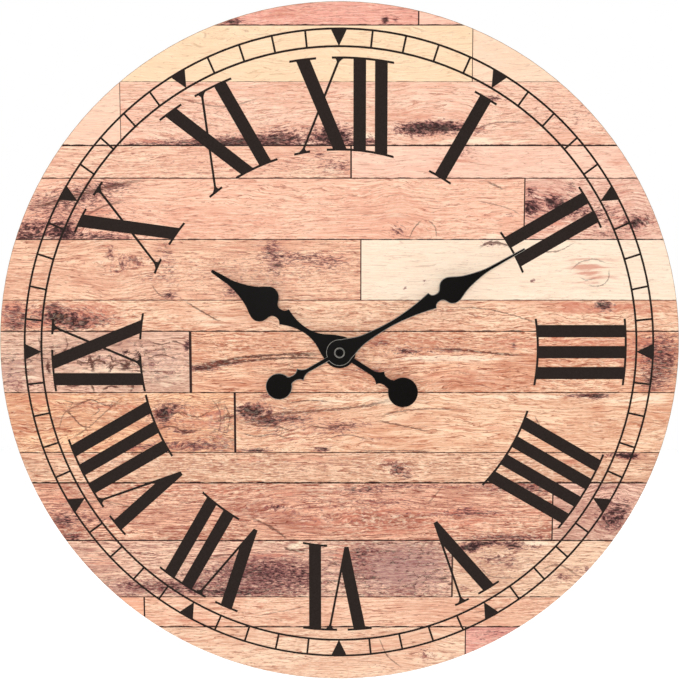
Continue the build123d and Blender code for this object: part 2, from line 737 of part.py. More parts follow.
def third_wheel():
    arbor = stepped_arbor(THIRD_AXIS, 1.0, MOTION_LEVEL[1] + 0.1, 8.5, 10.5)
    pinion = placed_gear(
        THIRD_PINION_TEETH, CENTRE_MODULE, THIRD_PINION_PHASE, THIRD_AXIS, CENTRE_LEVEL
    )
    wheel = wheel_plate(THIRD_TEETH, THIRD_MODULE, 0.0, 2.6, 7.6, 5)
    wheel = Pos(THIRD_AXIS[0], 0, THIRD_AXIS[1]) * level_slab(wheel, THIRD_LEVEL)
    return arbor + pinion + wheel


def second_wheel():
    arbor = stepped_arbor(CENTRE_AXIS, PLATE_LEVEL[0] + 0.1, PLATE_LEVEL[1] + 0.1, 9.7, 11.5)
    pinion = placed_gear(
        SECOND_PINION_TEETH, THIRD_MODULE, SECOND_PINION_PHASE, CENTRE_AXIS, THIRD_LEVEL
    )
    wheel = level_slab(wheel_plate(SECOND_TEETH, SECOND_MODULE, 0.0, 2.4, 7.2, 5), SECOND_LEVEL)
    return arbor + pinion + wheel


def fifth_wheel():
    arbor = stepped_arbor(FIFTH_AXIS, PLATE_LEVEL[0] + 0.1, PLATE_LEVEL[1] + 0.1, 11.4, 12.6)
    pinion = placed_gear(
        FIFTH_PINION_TEETH, SECOND_MODULE, FIFTH_PINION_PHASE, FIFTH_AXIS, SECOND_LEVEL
    )
    wheel = wheel_plate(FIFTH_TEETH, FIFTH_MODULE, 0.0, 2.2, 5.6, 4)
    wheel = Pos(FIFTH_AXIS[0], 0, FIFTH_AXIS[1]) * level_slab(wheel, FIFTH_LEVEL)
    return arbor + pinion + wheel


def rotor_pinion():
    arbor = stepped_arbor(ROTOR_AXIS, PLATE_LEVEL[0] + 0.1, PLATE_LEVEL[1] + 0.1, 11.4, 12.6)
    pinion = placed_gear(
        ROTOR_PINION_TEETH, FIFTH_MODULE, ROTOR_PINION_PHASE, ROTOR_AXIS, FIFTH_LEVEL
    )
    return arbor + pinion


def rotor_magnet():
    return level_slab(ring(3.0, ARBOR_SHAFT_R, ROTOR_AXIS), (6.6, 9.0))


# ---------------------------------------------------------------- stepping motor
COIL_Z = 23.0
COIL_LEFT = -21.0
COIL_RIGHT = -5.0
CORE_HALF_Z = 1.3
CORE_LEVEL = (STATOR_LEVEL[0] - 0.8, STATOR_LEVEL[0])
COIL_LEVEL = (CORE_LEVEL[0] + CORE_LEVEL[1]) / 2


def stator():
    """The flat iron yoke round the rotor, with a leg to each end of the coil core."""
    x, z = ROTOR_AXIS
    outline = disc(5.8, ROTOR_AXIS) + plate(COIL_RIGHT + 1.2, z + 3.6, x, COIL_Z + CORE_HALF_Z)
    outline += plate(COIL_LEFT - 4, 17.75, x - 3.5, 19.1)
    outline += plate(COIL_LEFT - 4, 17.75, COIL_LEFT - 1.2, COIL_Z + CORE_HALF_Z)
    outline -= disc(3.4, ROTOR_AXIS)
    return level_slab(outline, STATOR_LEVEL)


def coil_core():
    bar = plate(COIL_LEFT - 4, COIL_Z - CORE_HALF_Z, COIL_RIGHT + 4, COIL_Z + CORE_HALF_Z)
    return level_slab(bar, CORE_LEVEL)


def along_x(radius, left, right, height, level):
    """A round bar along X, at a height over the arbor axis and a level inside the case."""
    plane = Plane(origin=(left, Y_FLOOR + level, AXIS_Z + height), x_dir=(0, 1, 0), z_dir=(1, 0, 0))
    return extrude(plane * Circle(radius), amount=right - left)


def coil_bobbin():
    """The plastic spool on the core, with a flange at each end."""
    spool = along_x(1.8, COIL_LEFT, COIL_RIGHT, COIL_Z, COIL_LEVEL)
    spool += along_x(3.1, COIL_LEFT, COIL_LEFT + 0.8, COIL_Z, COIL_LEVEL)
    spool += along_x(3.1, COIL_RIGHT - 0.8, COIL_RIGHT, COIL_Z, COIL_LEVEL)
    return spool - coil_core()


def coil_winding():
    outside = along_x(2.8, COIL_LEFT + 0.8, COIL_RIGHT - 0.8, COIL_Z, COIL_LEVEL)
    return outside - along_x(1.8, COIL_LEFT + 0.8, COIL_RIGHT - 0.8, COIL_Z, COIL_LEVEL)


# ---------------------------------------------------------------- electronics
PCB_LEVEL = (SECOND_LEVEL[1] + 0.1, SECOND_LEVEL[1] + 0.9)


def circuit_board():
    return level_slab(plate(13.0, -9.3, 25.4, 2.4), PCB_LEVEL)


def driver_chip():
    """The domed resin blob over the driver chip."""
    back = Y_FLOOR + PCB_LEVEL[1]
    dome = Pos(16.4, back - 2.2, AXIS_Z - 3.4) * Sphere(3.2)
    keep = Pos(16.4, back + 1.0, AXIS_Z - 3.4) * Box(8, 2.0, 8)
    return dome & keep


def quartz_crystal():
    return along_x(1.0, 16.0, 22.0, 0.2, PCB_LEVEL[1] + 1.0)


def battery_contact(side):
    """A spring strip at one end of the cell, with a tail to the circuit side of the case."""
    wall = CASE_W / 2 - CASE_WALL
    strip = plate(wall - 0.4, CELL_Z - 5, wall, -4.0)
    strip = slab(strip, Y_FLOOR + 9.4, Y_FLOOR + 6.6)
    pad = slab(plate(wall - 0.4, CELL_Z - 5, wall, CELL_Z + 5), Y_FLOOR + 12.5, Y_FLOOR + 2.5)
    piece = strip + pad
    return piece if side > 0 else mirror(piece, about=Plane.YZ)


def contact_positive():
    return battery_contact(1)


def contact_negative():
    """The strip at the cell's flat end, with the raised dimple that presses on it."""
    wall = CASE_W / 2 - CASE_WALL
    dimple = along_x(2.4, -wall + 0.4, CELL_LEFT - 0.1, CELL_Z, CELL_Y - Y_FLOOR)
    return battery_contact(-1) + dimple


def battery_can():
    return along_x(CELL_R, CELL_LEFT, CELL_RIGHT, CELL_Z, CELL_Y - Y_FLOOR)


def battery_sleeve():
    """The label sleeve round the cell, rolled over its shoulders."""
    level = CELL_Y - Y_FLOOR
    outside = along_x(CELL_R + SLEEVE_T, CELL_LEFT + 0.3, CELL_RIGHT - 0.3, CELL_Z, level)
    return outside - along_x(CELL_R, CELL_LEFT, CELL_RIGHT, CELL_Z, level)


def battery_button():
    return along_x(BUTTON_R, CELL_RIGHT, CELL_RIGHT + BUTTON_L, CELL_Z, CELL_Y - Y_FLOOR)


NODES = [
    dial_board, face_print, numerals, minute_track,
    hour_hand, hour_hand_bush, minute_hand, minute_hand_bush, hand_nut,
    dial_washer, mounting_nut, rubber_gasket, hanger,
    case_front, case_back, train_plate,
    minute_arbor, centre_wheel, hour_wheel, reverse_wheel, setting_pinion, setting_knob,
    third_wheel, second_wheel, fifth_wheel, rotor_pinion, rotor_magnet,
    stator, coil_core, coil_bobbin, coil_winding,
    circuit_board, driver_chip, quartz_crystal, contact_positive, contact_negative,
    battery_can, battery_sleeve, battery_button,
]


def main():
    os.makedirs("parts", exist_ok=True)
    for make in NODES:
        export_step(make(), f"parts/{make.__name__}.step")


main()
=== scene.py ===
import json
import math

import bmesh
import bpy
import numpy as np
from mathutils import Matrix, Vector


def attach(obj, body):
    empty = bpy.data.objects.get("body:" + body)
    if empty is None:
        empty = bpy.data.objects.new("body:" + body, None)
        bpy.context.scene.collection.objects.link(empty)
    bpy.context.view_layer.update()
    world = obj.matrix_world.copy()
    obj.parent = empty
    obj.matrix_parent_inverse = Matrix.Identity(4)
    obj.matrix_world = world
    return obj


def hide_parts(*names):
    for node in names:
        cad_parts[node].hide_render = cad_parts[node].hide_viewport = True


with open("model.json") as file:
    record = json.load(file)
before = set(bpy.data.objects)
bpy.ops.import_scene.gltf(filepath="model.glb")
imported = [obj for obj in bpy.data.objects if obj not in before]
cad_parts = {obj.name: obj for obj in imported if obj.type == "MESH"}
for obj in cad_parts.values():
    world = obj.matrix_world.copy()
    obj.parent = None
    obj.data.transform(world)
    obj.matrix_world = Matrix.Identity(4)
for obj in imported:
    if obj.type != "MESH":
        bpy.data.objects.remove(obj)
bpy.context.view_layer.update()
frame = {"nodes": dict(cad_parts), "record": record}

MM = 0.001

# Dial, in mm
DIAL_Z = -45.5                  # height of the dial's centre
PRINT_R = 151.95
PRINT_FRONT = -23.3
PRINT_BACK = -23.0
PRINT_CELL = 1.1                # spacing of the print's mesh
RIM_STEPS = 720                 # corners round the print's edge
WASHER_HIDES_R = 5.0            # the print is open inside this radius, under the washer
DIAL_MIDDLE = (0, PRINT_FRONT * MM, DIAL_Z * MM)


def linear(*rgb):
    """sRGB 0-255 to a linear colour with alpha."""
    out = []
    for value in rgb:
        c = value / 255
        out.append(c / 12.92 if c <= 0.04045 else ((c + 0.055) / 1.055) ** 2.4)
    return (*out, 1.0)


# ---------------------------------------------------------------- planks of the printed dial
# Each row: height of its top edge above the dial's centre, width of the dark seam under it, and its
# planks from left to right: right end, width of the seam there, light tone, streak tone, strength of figure
# and how far its grain wanders.
END = 160.0                     # beyond the print's edge
ROWS = [
    (152.4, 0.70, [(34.4, 0.5, (242, 176, 157), (214, 136, 120), 0.7, 0.7),
                   (END, 0, (252, 200, 178), (236, 172, 148), 0.5, 0.8)]),
    (141.9, 0.25, [(58.0, 0.25, (252, 218, 182), (238, 194, 154), 0.4, 1.4),
                   (END, 0, (252, 216, 188), (238, 194, 162), 0.4, 1.2)]),
    (118.0, 0.90, [(-96.1, 0.2, (251, 210, 184), (232, 178, 150), 0.4, 0.8),
                   (END, 0, (251, 208, 182), (222, 154, 128), 0.8, 0.8)]),
    (90.4, 0.60, [(5.1, 0.6, (252, 207, 178), (218, 150, 126), 0.9, 0.6),
                  (END, 0, (252, 208, 184), (232, 172, 148), 0.6, 0.8)]),
    (76.3, 0.60, [(81.8, 0.45, (253, 203, 175), (222, 150, 124), 0.8, 0.9),
                  (END, 0, (252, 210, 186), (208, 140, 122), 0.9, 0.8)]),
    (49.5, 0.45, [(9.5, 0.4, (253, 205, 172), (206, 138, 112), 0.95, 0.4),
                  (END, 0, (251, 229, 205), (238, 198, 168), 0.35, 0.5)]),
    (22.7, 0.70, [(END, 0, (255, 212, 179), (208, 136, 106), 1.0, 0.9)]),
    (8.7, 0.55, [(-66.9, 1.1, (240, 196, 170), (182, 130, 110), 0.9, 1.0),
                 (END, 0, (254, 204, 168), (194, 116, 86), 1.1, 1.0)]),
    (-18.9, 0.50, [(-47.2, 0.9, (254, 203, 160), (186, 106, 78), 1.0, 1.4),
                   (END, 0, (255, 213, 178), (202, 126, 92), 0.88, 1.0)]),
    (-46.2, 0.90, [(END, 0, (248, 201, 168), (188, 126, 98), 1.1, 0.3)]),
    (-60.3, 0.75, [(97.1, 0.5, (252, 195, 163), (158, 84, 66), 1.1, 0.5),
                   (END, 0, (248, 200, 176), (176, 122, 106), 1.0, 0.8)]),
    (-87.0, 0.50, [(51.7, 0.7, (253, 206, 176), (164, 104, 94), 1.1, 0.6),
                   (END, 0, (252, 214, 182), (198, 142, 114), 0.9, 0.8)]),
    (-113.4, 0.80, [(-89.8, 0.6, (246, 186, 154), (216, 144, 116), 0.7, 0.5),
                    (END, 0, (253, 206, 176), (206, 138, 110), 0.9, 0.5)]),
    (-127.7, 0.01, [(58.1, 0.4, (253, 216, 185), (216, 154, 126), 0.9, 0.6),
                    (END, 0, (243, 180, 162), (196, 124, 116), 0.8, 0.6)]),
]

# Marks in the print: centre x, height above the dial's centre, half length, half height, strength.
# DARK marks are plum stains, RED ones heartwood, GREY ones weathered wood and PALE ones sapwood.
DARK = [
    (19.8, 144.2, 1.3, 1.6, 1.0), (24.5, 144.6, 1.3, 1.3, 0.5), (-47, 143.6, 5, 1.2, 0.8),
    (-60, 91.6, 16, 1.8, 0.55), (-42, 92, 18, 2.6, 0.8), (-25, 94, 9, 4, 0.65), (-3, 94.4, 9, 5, 0.9),
    (13, 92.4, 8, 2, 0.55), (42, 98.6, 13, 2.4, 1.0), (33, 97, 8, 2.4, 0.6), (57, 97, 9, 2, 0.3),
    (-82, 91.4, 14, 1.6, 0.4), (67, 111, 4.5, 1.1, 0.7),
    (-9, 86.5, 3, 1.2, 0.35), (-4, 82.5, 4, 3, 0.25), (1.5, 81, 4, 2, 0.35), (56, 88, 4, 2.6, 0.35),
    (-100, 73.5, 9, 2, 0.6), (-113, 69.5, 12, 4, 0.5), (-129, 65, 10, 3.5, 0.4), (-137, 55, 9, 3, 0.6),
    (-122, 53.5, 6, 4, 0.75), (-105, 50.8, 14, 1.5, 0.6), (-138, 50.8, 8, 1.6, 0.7),
    (26, 54, 3.2, 2.8, 0.5), (75.5, 60.3, 3, 0.5, 0.6),
    (84.8, 64, 3.4, 3.4, 0.85), (94.5, 66.4, 4, 2.4, 0.85), (84.5, 71, 2, 1.5, 0.7),
    (101, 62.5, 6, 2.4, 0.6), (115, 60.5, 9, 4, 0.32), (131, 57.2, 4.5, 2.8, 0.8), (120, 52, 8, 1.4, 0.4),
    (102, 73, 2, 2.4, 0.5), (138, 61, 4, 5, 0.2),
    (-102, 44, 1.4, 3, 0.55), (-97, 40, 3, 3, 0.4), (-91, 40, 3, 2, 0.55), (-100, 35.5, 4, 1, 0.35),
    (-20, 42, 10, 2, 0.4), (-5, 40, 8, 3, 0.4), (-47, 27, 4, 3, 0.5), (-76, 37, 2.6, 7, 0.3),
    (-76, 24.8, 3, 1.5, 0.7), (-84, 33, 6, 1.6, 0.3), (-30, 45, 4, 4, 0.45),
    (38, 31, 0.7, 0.5, 1.0), (29, 28, 0.7, 0.5, 0.9), (67, 47.6, 4, 1.1, 0.5), (86, 31.6, 1, 0.8, 0.6),
    (118, 20.4, 4.2, 2.2, 0.9), (-126, 15, 4.2, 2.4, 1.0), (-118, 12, 5, 2.6, 0.75), (-128, 20, 3, 1.5, 0.6),
    (-145, 18, 6, 5, 0.45), (-145, 11.5, 5, 2, 0.6), (-110, 13, 8, 2.5, 0.45),
    (-132, 15, 12, 5, 0.42), (-117, 17, 9, 3.5, 0.4), (-102, 15, 7, 3, 0.25),
    (-68.4, 2.5, 1.5, 2.6, 0.9), (-84, -6, 2, 0.6, 0.8), (-145, -15, 7, 3, 0.3), (-122, -15, 14, 2.5, 0.35),
    (30, 0, 5, 1.2, 0.65), (18, 4, 3, 1, 0.5), (50, 0.6, 7, 0.9, 0.5), (78, 2.6, 1, 1.5, 0.6),
    (146, -5, 6, 11, 0.5), (140, -13, 4, 5, 0.5), (14, -8.4, 9, 1, 0.5), (-62, -7.6, 7, 1.1, 1.0),
    (-52, -5.2, 6, 0.9, 1.0),
    (-80, -29, 3.4, 3, 0.9), (-75, -25, 5, 2, 0.5), (-112, -24, 8, 1.4, 0.35), (-70, -36.5, 4, 1, 0.65),
    (-65, -43, 17, 2.4, 0.55), (-92, -43.5, 8, 1.8, 0.45),
    (-40, -27, 7, 3.2, 0.9), (-32, -31.6, 5, 1.8, 0.75), (-21, -30.5, 6, 1.4, 0.5), (-38, -44.9, 6, 0.7, 1.0),
    (-8, -44.5, 3.4, 0.8, 1.0), (0, -35, 6, 2, 0.4), (16, -40, 3, 0.6, 0.5), (-33, -20.5, 3, 0.8, 0.6),
    (111, -20, 9, 0.9, 0.9), (116, -20.4, 3, 1.1, 0.9), (8, -33, 9, 1.2, 0.35),
    (131, -47.5, 4.5, 1.4, 1.0), (127, -47, 8, 1, 0.5), (27, -54, 4, 2.8, 0.65), (22, -51, 3, 1.5, 0.4),
    (31, -57, 2.4, 1.4, 0.5), (-100, -50.5, 8, 0.6, 0.4),
    (-126, -78, 5, 2.4, 0.5), (-122, -85, 4, 1.5, 0.75), (-110, -77, 8, 1, 0.35), (-29, -71, 3, 0.8, 0.7),
    (10, -63.5, 10, 1.3, 0.5), (30, -61.5, 20, 1, 0.5), (80, -62.2, 16, 1.8, 0.65), (90, -65, 5, 2.4, 0.4),
    (60, -74, 14, 1, 0.55), (78, -85.2, 18, 1.3, 0.7), (58, -72, 3, 0.8, 0.6), (20, -69, 16, 1, 0.3),
    (124, -78, 4.6, 4.4, 0.65), (128, -72, 4, 3.4, 0.5), (120, -62, 10, 1.1, 0.4),
    (-55, -103, 12, 5, 0.34), (-42, -101, 12, 6, 0.5), (-29, -103, 12, 8, 0.55), (-15, -104, 8, 8, 0.5),
    (-75, -108, 16, 2.6, 0.65), (-95, -108, 8, 2.6, 0.5), (-50, -111, 20, 1.8, 0.8), (9, -98, 6, 8, 0.5),
    (15.5, -104, 1.3, 0.7, 1.0), (13, -92, 9, 2, 0.5), (14, -112, 2, 0.8, 0.6), (32, -110.5, 17, 1.6, 0.4),
    (60, -90, 5, 1.8, 1.0), (68, -88, 8, 0.9, 0.95), (80, -89.2, 4, 2.1, 0.75), (90, -89.8, 4, 1, 0.5),
    (72, -95, 7, 1.2, 0.4), (102, -104, 6, 1.8, 0.45), (112, -100, 5, 1.8, 0.4), (78, -98, 1.5, 1, 0.5),
    (57, -109, 3, 1.5, 0.4), (-61, -101, 10, 1, 0.3),
    (40, -140.5, 2.8, 2.8, 0.5), (72, -130, 11, 2, 0.3), (66, -134, 7, 3, 0.2), (25, -147, 3, 0.5, 0.4),
]
# Broad weak stains, which show as scattered short flecks.
DARK += [
    (-22, -33, 24, 10, 0.30), (-75, -31, 22, 10, 0.26), (-10, -73, 90, 11, 0.24), (-40, -52, 90, 3.4, 0.22),
    (20, 0, 60, 8, 0.20), (-60, 104, 40, 8, 0.18), (-40, 36, 50, 11, 0.22), (-115, 60, 30, 10, 0.28),
    (105, 62, 26, 10, 0.24), (75, -99, 22, 9, 0.24), (-30, 83, 60, 5, 0.2), (100, 104, 26, 8, 0.22),
    (140, 0, 12, 12, 0.35), (-128, -76, 20, 9, 0.3), (122, -72, 20, 9, 0.3),
]
RED = [
    (-20, 148, 22, 4, 0.35), (30, 103, 28, 4, 0.25), (-74, 92.5, 20, 3, 0.45), (15, 111, 25, 2.5, 0.15),
    (50, 84, 10, 4, 0.35), (-15, 85, 9, 3, 0.3), (125, 84, 10, 3, 0.3),
    (-112, 62, 18, 3, 0.45), (-72, 61, 5, 1.4, 0.55), (20, 60, 24, 6, 0.3), (98, 58, 24, 7, 0.42),
    (86, 73, 6, 3, 0.35), (125, 70, 8, 5, 0.35), (-125, 70, 10, 3, 0.3),
    (111, 35.4, 9, 6.5, 0.5), (-45, 45, 12, 3, 0.3), (-20, 30, 12, 6, 0.25), (0, 43, 8, 5, 0.4),
    (-112, 16, 14, 5, 0.85), (-129, 13, 10, 5, 0.7), (-146, 15, 8, 7, 0.7), (105, 20, 13, 2.6, 0.75),
    (132, 19, 12, 2.6, 0.7), (45, 13, 15, 2.6, 0.3), (-47, 12, 10, 2, 0.35), (-47, 18, 12, 2, 0.25),
    (100, 4, 36, 3, 0.6), (135, 0, 14, 8, 0.6), (-50, 5, 12, 2, 0.3), (20, 5, 20, 3, 0.35),
    (20, -14, 14, 3, 0.4), (60, -12, 30, 3, 0.35),
    (-115, -25, 20, 2, 0.5), (-62, -32, 14, 7, 0.5), (-92, -44, 20, 2, 0.5), (-135, -22, 10, 2, 0.4),
    (-20, -40, 20, 4, 0.35), (60, -34, 30, 3, 0.25), (-5, -27, 18, 1.2, 0.4),
    (-120, -47.6, 20, 1.2, 0.5), (100, -50, 30, 2, 0.35), (20, -50, 12, 3, 0.3), (-30, -49, 40, 1.2, 0.35),
    (50, -76, 55, 8, 0.4), (-60, -64, 60, 3, 0.35), (-125, -66, 12, 4, 0.3), (5, -80, 25, 5, 0.3),
    (-112, -98, 10, 4, 0.3), (72, -100, 15, 5, 0.25), (-30, -94, 30, 3, 0.35), (2, -92, 5, 5, 0.5),
    (-8, -118, 12, 3, 0.25), (-70, -125, 15, 2, 0.45), (30, -121, 18, 2, 0.2),
    (-75, -133, 10, 2, 0.45), (30, -137, 30, 2, 0.25), (66, -138, 9, 7, 0.3),
]
GREY = [
    (-112, -2, 38, 9, 0.42), (-147, -11, 7, 8, 0.45), (-80, -8, 14, 8, 0.3), (-53, -32, 7, 9, 0.5),
    (28, -100, 24, 13, 0.85), (-38, -105, 30, 9, 0.75), (-95, -109, 26, 4, 0.6), (-29, 40, 4, 12, 0.5),
    (-78, 43, 4, 7, 0.4),
    (-148, 16, 6, 7, 0.4), (125, -76, 8, 6, 0.35), (-60, -43, 22, 3, 0.4), (72, -97, 12, 3, 0.35),
]
PALE = [
    (12, 95, 6, 1.2, 1.0), (60, 92.5, 22, 1.4, 0.8), (90, -20.6, 26, 0.9, 0.9), (136, -22, 14, 1.8, 0.6),
    (10, -22.5, 30, 2, 0.6), (48, -3.4, 34, 1.6, 0.7), (-78, -14, 9, 3, 0.5), (90, -88, 13, 1.1, 0.8),
    (68, 51, 5, 1.8, 0.8), (25, 62, 9, 3, 0.35), (-131, 50.6, 8, 0.8, 0.8), (-58, 14, 14, 4, 0.5),
    (-3, 80, 4, 2.4, 0.6), (115, 5, 14, 0.8, 0.5), (-140, -10, 6, 5, 0.4),
    (-105, -9, 22, 2.5, 0.5), (-20.4, -89.2, 3.6, 1.2, 1.0), (95, 24.4, 50, 0.9, 0.5),
    (-95, 71, 10, 0.8, 0.4), (0, -63, 14, 1.0, 0.5), (55, -13, 30, 1, 0.3),
]
# Knots that the grain flows round: centre, half height, reach along the grain.
KNOTS = [
    (-126, 15, 3.0, 13), (26, 54, 3.0, 9), (84.8, 64, 3.2, 9), (94.5, 66.4, 2.2, 8),
    (-80, -29, 2.8, 12), (-40, -28, 3.2, 14), (20, -30.4, 1.6, 26), (131, -47.5, 1.4, 9),
    (124, -77, 4.0, 10), (60, -90, 2.0, 12), (42, 98.5, 2.4, 20), (-3, 95, 3.5, 22), (40, -140.5, 2.2, 9),
    (118, 20.4, 2.0, 12), (27, -54, 2.4, 9), (30, 0, 1.2, 18), (-100, 40, 5.0, 14), (67, 111, 1.2, 8),
    (-122, 53.5, 3.0, 14), (-25, -72, 3.0, 26), (10, -76, 3.2, 30), (131, 57.2, 2.4, 8),
]
# Cracks and veins: width in mm, darkness, then the points they pass through.
VEINS = [
    (0.35, 0.8, [(-69, 22.5), (-61, 17.5), (-53, 13)]),
    (0.30, 0.7, [(50, 19.6), (65, 19), (78, 16), (92, 11.5)]),
    (0.50, 0.9, [(-66.5, -9.0), (-55, -6.4), (-40, -4.2), (-20, -2.9), (-6, -3.2)]),
    (0.55, 0.9, [(-6, -1.2), (-20, -1.2), (-40, -2.4), (-53, -4.4), (-66.5, -6.6)]),
    (0.45, 0.9, [(42, 1), (55, 0.5), (70, -1), (84, -2)]),
    (0.30, 0.6, [(-97, -20), (-105, -27), (-114, -35), (-122, -40)]),
    (0.30, 0.6, [(-127, -36), (-124, -28), (-116, -23.5)]),
    (0.65, 0.75, [(-47, -33), (-38, -31), (-28, -28.4), (-10, -27), (12, -24.6), (25, -21.6)]),
    (0.35, 0.6, [(58, -26.6), (40, -26), (26, -27.4), (17, -30)]),
    (0.40, 0.7, [(17, -31.4), (27, -33.4), (42, -36.6)]),
    (0.30, 0.7, [(31, 50.4), (32.6, 54), (36.4, 58.4)]),
    (0.30, 0.6, [(43, 50.2), (42.4, 55), (39, 58.6)]),
    (0.45, 0.7, [(65, 75), (72.5, 71.6)]),
    (0.55, 0.7, [(-42, -75.5), (-33, -79.6), (-27, -83.6), (-23.4, -86.6)]),
    (0.30, 0.6, [(18, -132), (22, -141), (29, -147)]),
    (0.35, 0.5, [(40, -70), (46.5, -62)]),
    (0.60, 0.6, [(-140, 62.4), (-125, 66.4), (-110, 70.6), (-95, 74.4), (-84, 75.9)]),
    (0.45, 0.6, [(-113, 60), (-104, 64.4), (-95, 66.6)]),
    (0.75, 0.95, [(-112.4, -1.6), (-111.6, -5), (-110.4, -9.8)]),
    (0.90, 0.95, [(-130.4, -4), (-131, -7), (-130, -10.8)]),
    (0.50, 0.9, [(-119, -3.6), (-114, -5.4), (-108, -4), (-103, -6.4), (-97, -5)]),
    (0.50, 0.9, [(-104, -10.4), (-101.6, -5.4), (-103.4, -1)]),
    (0.60, 0.95, [(-97.4, -8), (-94, -4.6), (-90.6, -2.4)]),
    (0.45, 0.9, [(-126, -13.4), (-121, -15.6), (-116, -15)]),
    (0.50, 0.9, [(-112, -14.4), (-110.4, -18)]),
    (0.45, 0.9, [(-107, -18), (-103.4, -15.8), (-98.6, -16.4)]),
    (0.60, 0.9, [(-94, -13.8), (-93, -16), (-94.4, -18.4)]),
    (0.35, 0.8, [(-136, -3), (-134, 2), (-135, 6.6)]),
    (0.35, 0.8, [(-86, 4.6), (-80, 3), (-74, 4.4), (-69, 2.6)]),
    (0.35, 0.8, [(-87, -3.6), (-80, -1.6), (-72, -3.8)]),
    # loops like contour lines, left of the joint in the row under the middle one
    (0.35, 0.85, [(-127, -21.4), (-118, -23.6), (-112, -22), (-105, -24.4), (-97, -23)]),
    (0.35, 0.8, [(-125, -25.6), (-121, -29), (-117, -33.4), (-113, -35)]),
    (0.30, 0.8, [(-112, -29.4), (-108.4, -27), (-110, -24.8)]),
    (0.35, 0.8, [(-86, -26), (-78, -29), (-72, -27.6), (-64, -29.8), (-57, -26)]),
    (0.35, 0.8, [(-84, -36), (-76, -34), (-69, -36.8), (-62, -35)]),
    (0.30, 0.6, [(-58, -21), (-54.6, -26), (-53.6, -32), (-55.4, -38)]),
    (0.30, 0.6, [(-52, -23), (-49.6, -30), (-51, -37)]),
    # close lines right of that joint, and single ones elsewhere
    (0.35, 0.85, [(-46, -30.4), (-38, -33.6), (-29, -34), (-21, -36.4)]),
    (0.30, 0.8, [(-46, -36.6), (-37, -38.6), (-30, -37.6), (-22, -40)]),
    (0.30, 0.8, [(-24, -23.6), (-14, -22.2), (-4, -22.8)]),
    (0.30, 0.75, [(-16, -33), (-6, -34.8), (2, -33.4), (10, -35)]),
    (0.30, 0.7, [(-6, -39.4), (4, -38), (14, -40.4)]),
    (0.30, 0.7, [(5, -45.4), (26, -45.2), (44, -45.6)]),
    (0.30, 0.7, [(88, -29), (90.4, -34), (89.6, -39)]),
    (0.35, 0.6, [(-123, 7.6), (-122, 2), (-126, -1.6)]),
    (0.30, 0.7, [(-105, -6), (-98, -4), (-90, -6.4)]),
    (0.30, 0.6, [(-100, -11.6), (-94, -16.6)]),
    (0.55, 1.0, [(-25.6, -89.6), (-23.4, -91), (-19, -91.6), (-14.6, -90.8)]),
    (0.35, 0.5, [(-76, 112.6), (-52, 107.4), (-34, 111.4)]),
    (0.30, 0.45, [(60, 67), (74, 63.6), (80, 60.6)]),
    (0.40, 0.6, [(-64, -96.6), (-52, -93.4), (-44, -94.6)]),
    (0.40, 0.55, [(-130, -70), (-108, -68.6), (-92, -72)]),
    (0.30, 0.5, [(60, -121), (80, -117.4)]),
    (0.30, 0.5, [(-40, -122.6), (-14, -117.6)]),
    (0.35, 0.6, [(-84, 30), (-81, 26), (-78, 24)]),
    (0.35, 0.55, [(58, 97), (68, 100.4), (82, 101)]),
    (0.35, 0.55, [(64, -99), (70, -103.6), (84, -104.4)]),
    (0.40, 0.6, [(92, -101), (100, -98), (110, -103.4)]),
    # the crack and the knot in the pale plank
    (0.55, 0.8, [(62, 46), (66, 48.3), (71, 48.1), (77, 46.2)]),
    (0.30, 0.6, [(84, 45.6), (91, 44.3), (98, 44.9), (105, 48.8)]),
    (0.30, 0.5, [(102.6, 36), (107, 39.6), (113, 41), (119.4, 39)]),
    (0.30, 0.5, [(120, 37), (119.6, 32), (116, 29.2), (110, 29.6)]),
    (0.30, 0.4, [(107, 33), (110, 31.8), (114.6, 32.6)]),
]
VEIN_REACH = 2.4                # how far from a vein its offset is kept, mm
VEIN_STEPS = 12                 # straight pieces between two of a vein's points
VEIN_TAPER = 6                  # a vein fades in and out over its length divided by this
MARK_FALLOFF = 0.75             # how fast a mark fades away from its centre
KNOT_PUSH = 0.9                 # how far a knot pushes the grain aside, as a share of its half height
ROW_SEED = 37.0                 # rows and planks lie this far apart in the noise, so no two are alike
PLANK_SEED = 11.0


def blobs(x, z, marks, inside):
    """Soft field made of the marks whose centre is inside this plank."""
    clear = np.ones_like(x)
    for mx, mz, rx, rz, amount in marks:
        if inside(mx, mz):
            d = ((x - mx) / rx) ** 2 + ((z - mz) / rz) ** 2
            clear *= 1 - amount * np.exp(-MARK_FALLOFF * d)
    return 1 - clear


def grain_height(x, z, inside):
    """Height across the grain, bent so that the grain lines part round the knots."""
    g = z.copy()
    for kx, kz, radius, reach in KNOTS:
        if inside(kx, kz):
            d = g - kz
            h = radius * np.exp(-((x - kx) / reach) ** 2)
            g = kz + np.sign(d) * (np.sqrt(d * d + h * h) - h * KNOT_PUSH)
    return g


def smooth_line(values, steps):
    """Catmull-Rom values through the points, at fractional indices."""
    padded = np.concatenate([[2 * values[0] - values[1]], values, [2 * values[-1] - values[-2]]])
    i = np.minimum(steps.astype(int), len(values) - 2)
    t = steps - i
    a, b, c, d = padded[i], padded[i + 1], padded[i + 2], padded[i + 3]
    square = (2 * a - 5 * b + 4 * c - d) * t ** 2
    cube = (3 * b - a - 3 * c + d) * t ** 3
    return 0.5 * (2 * b + (c - a) * t + square + cube)


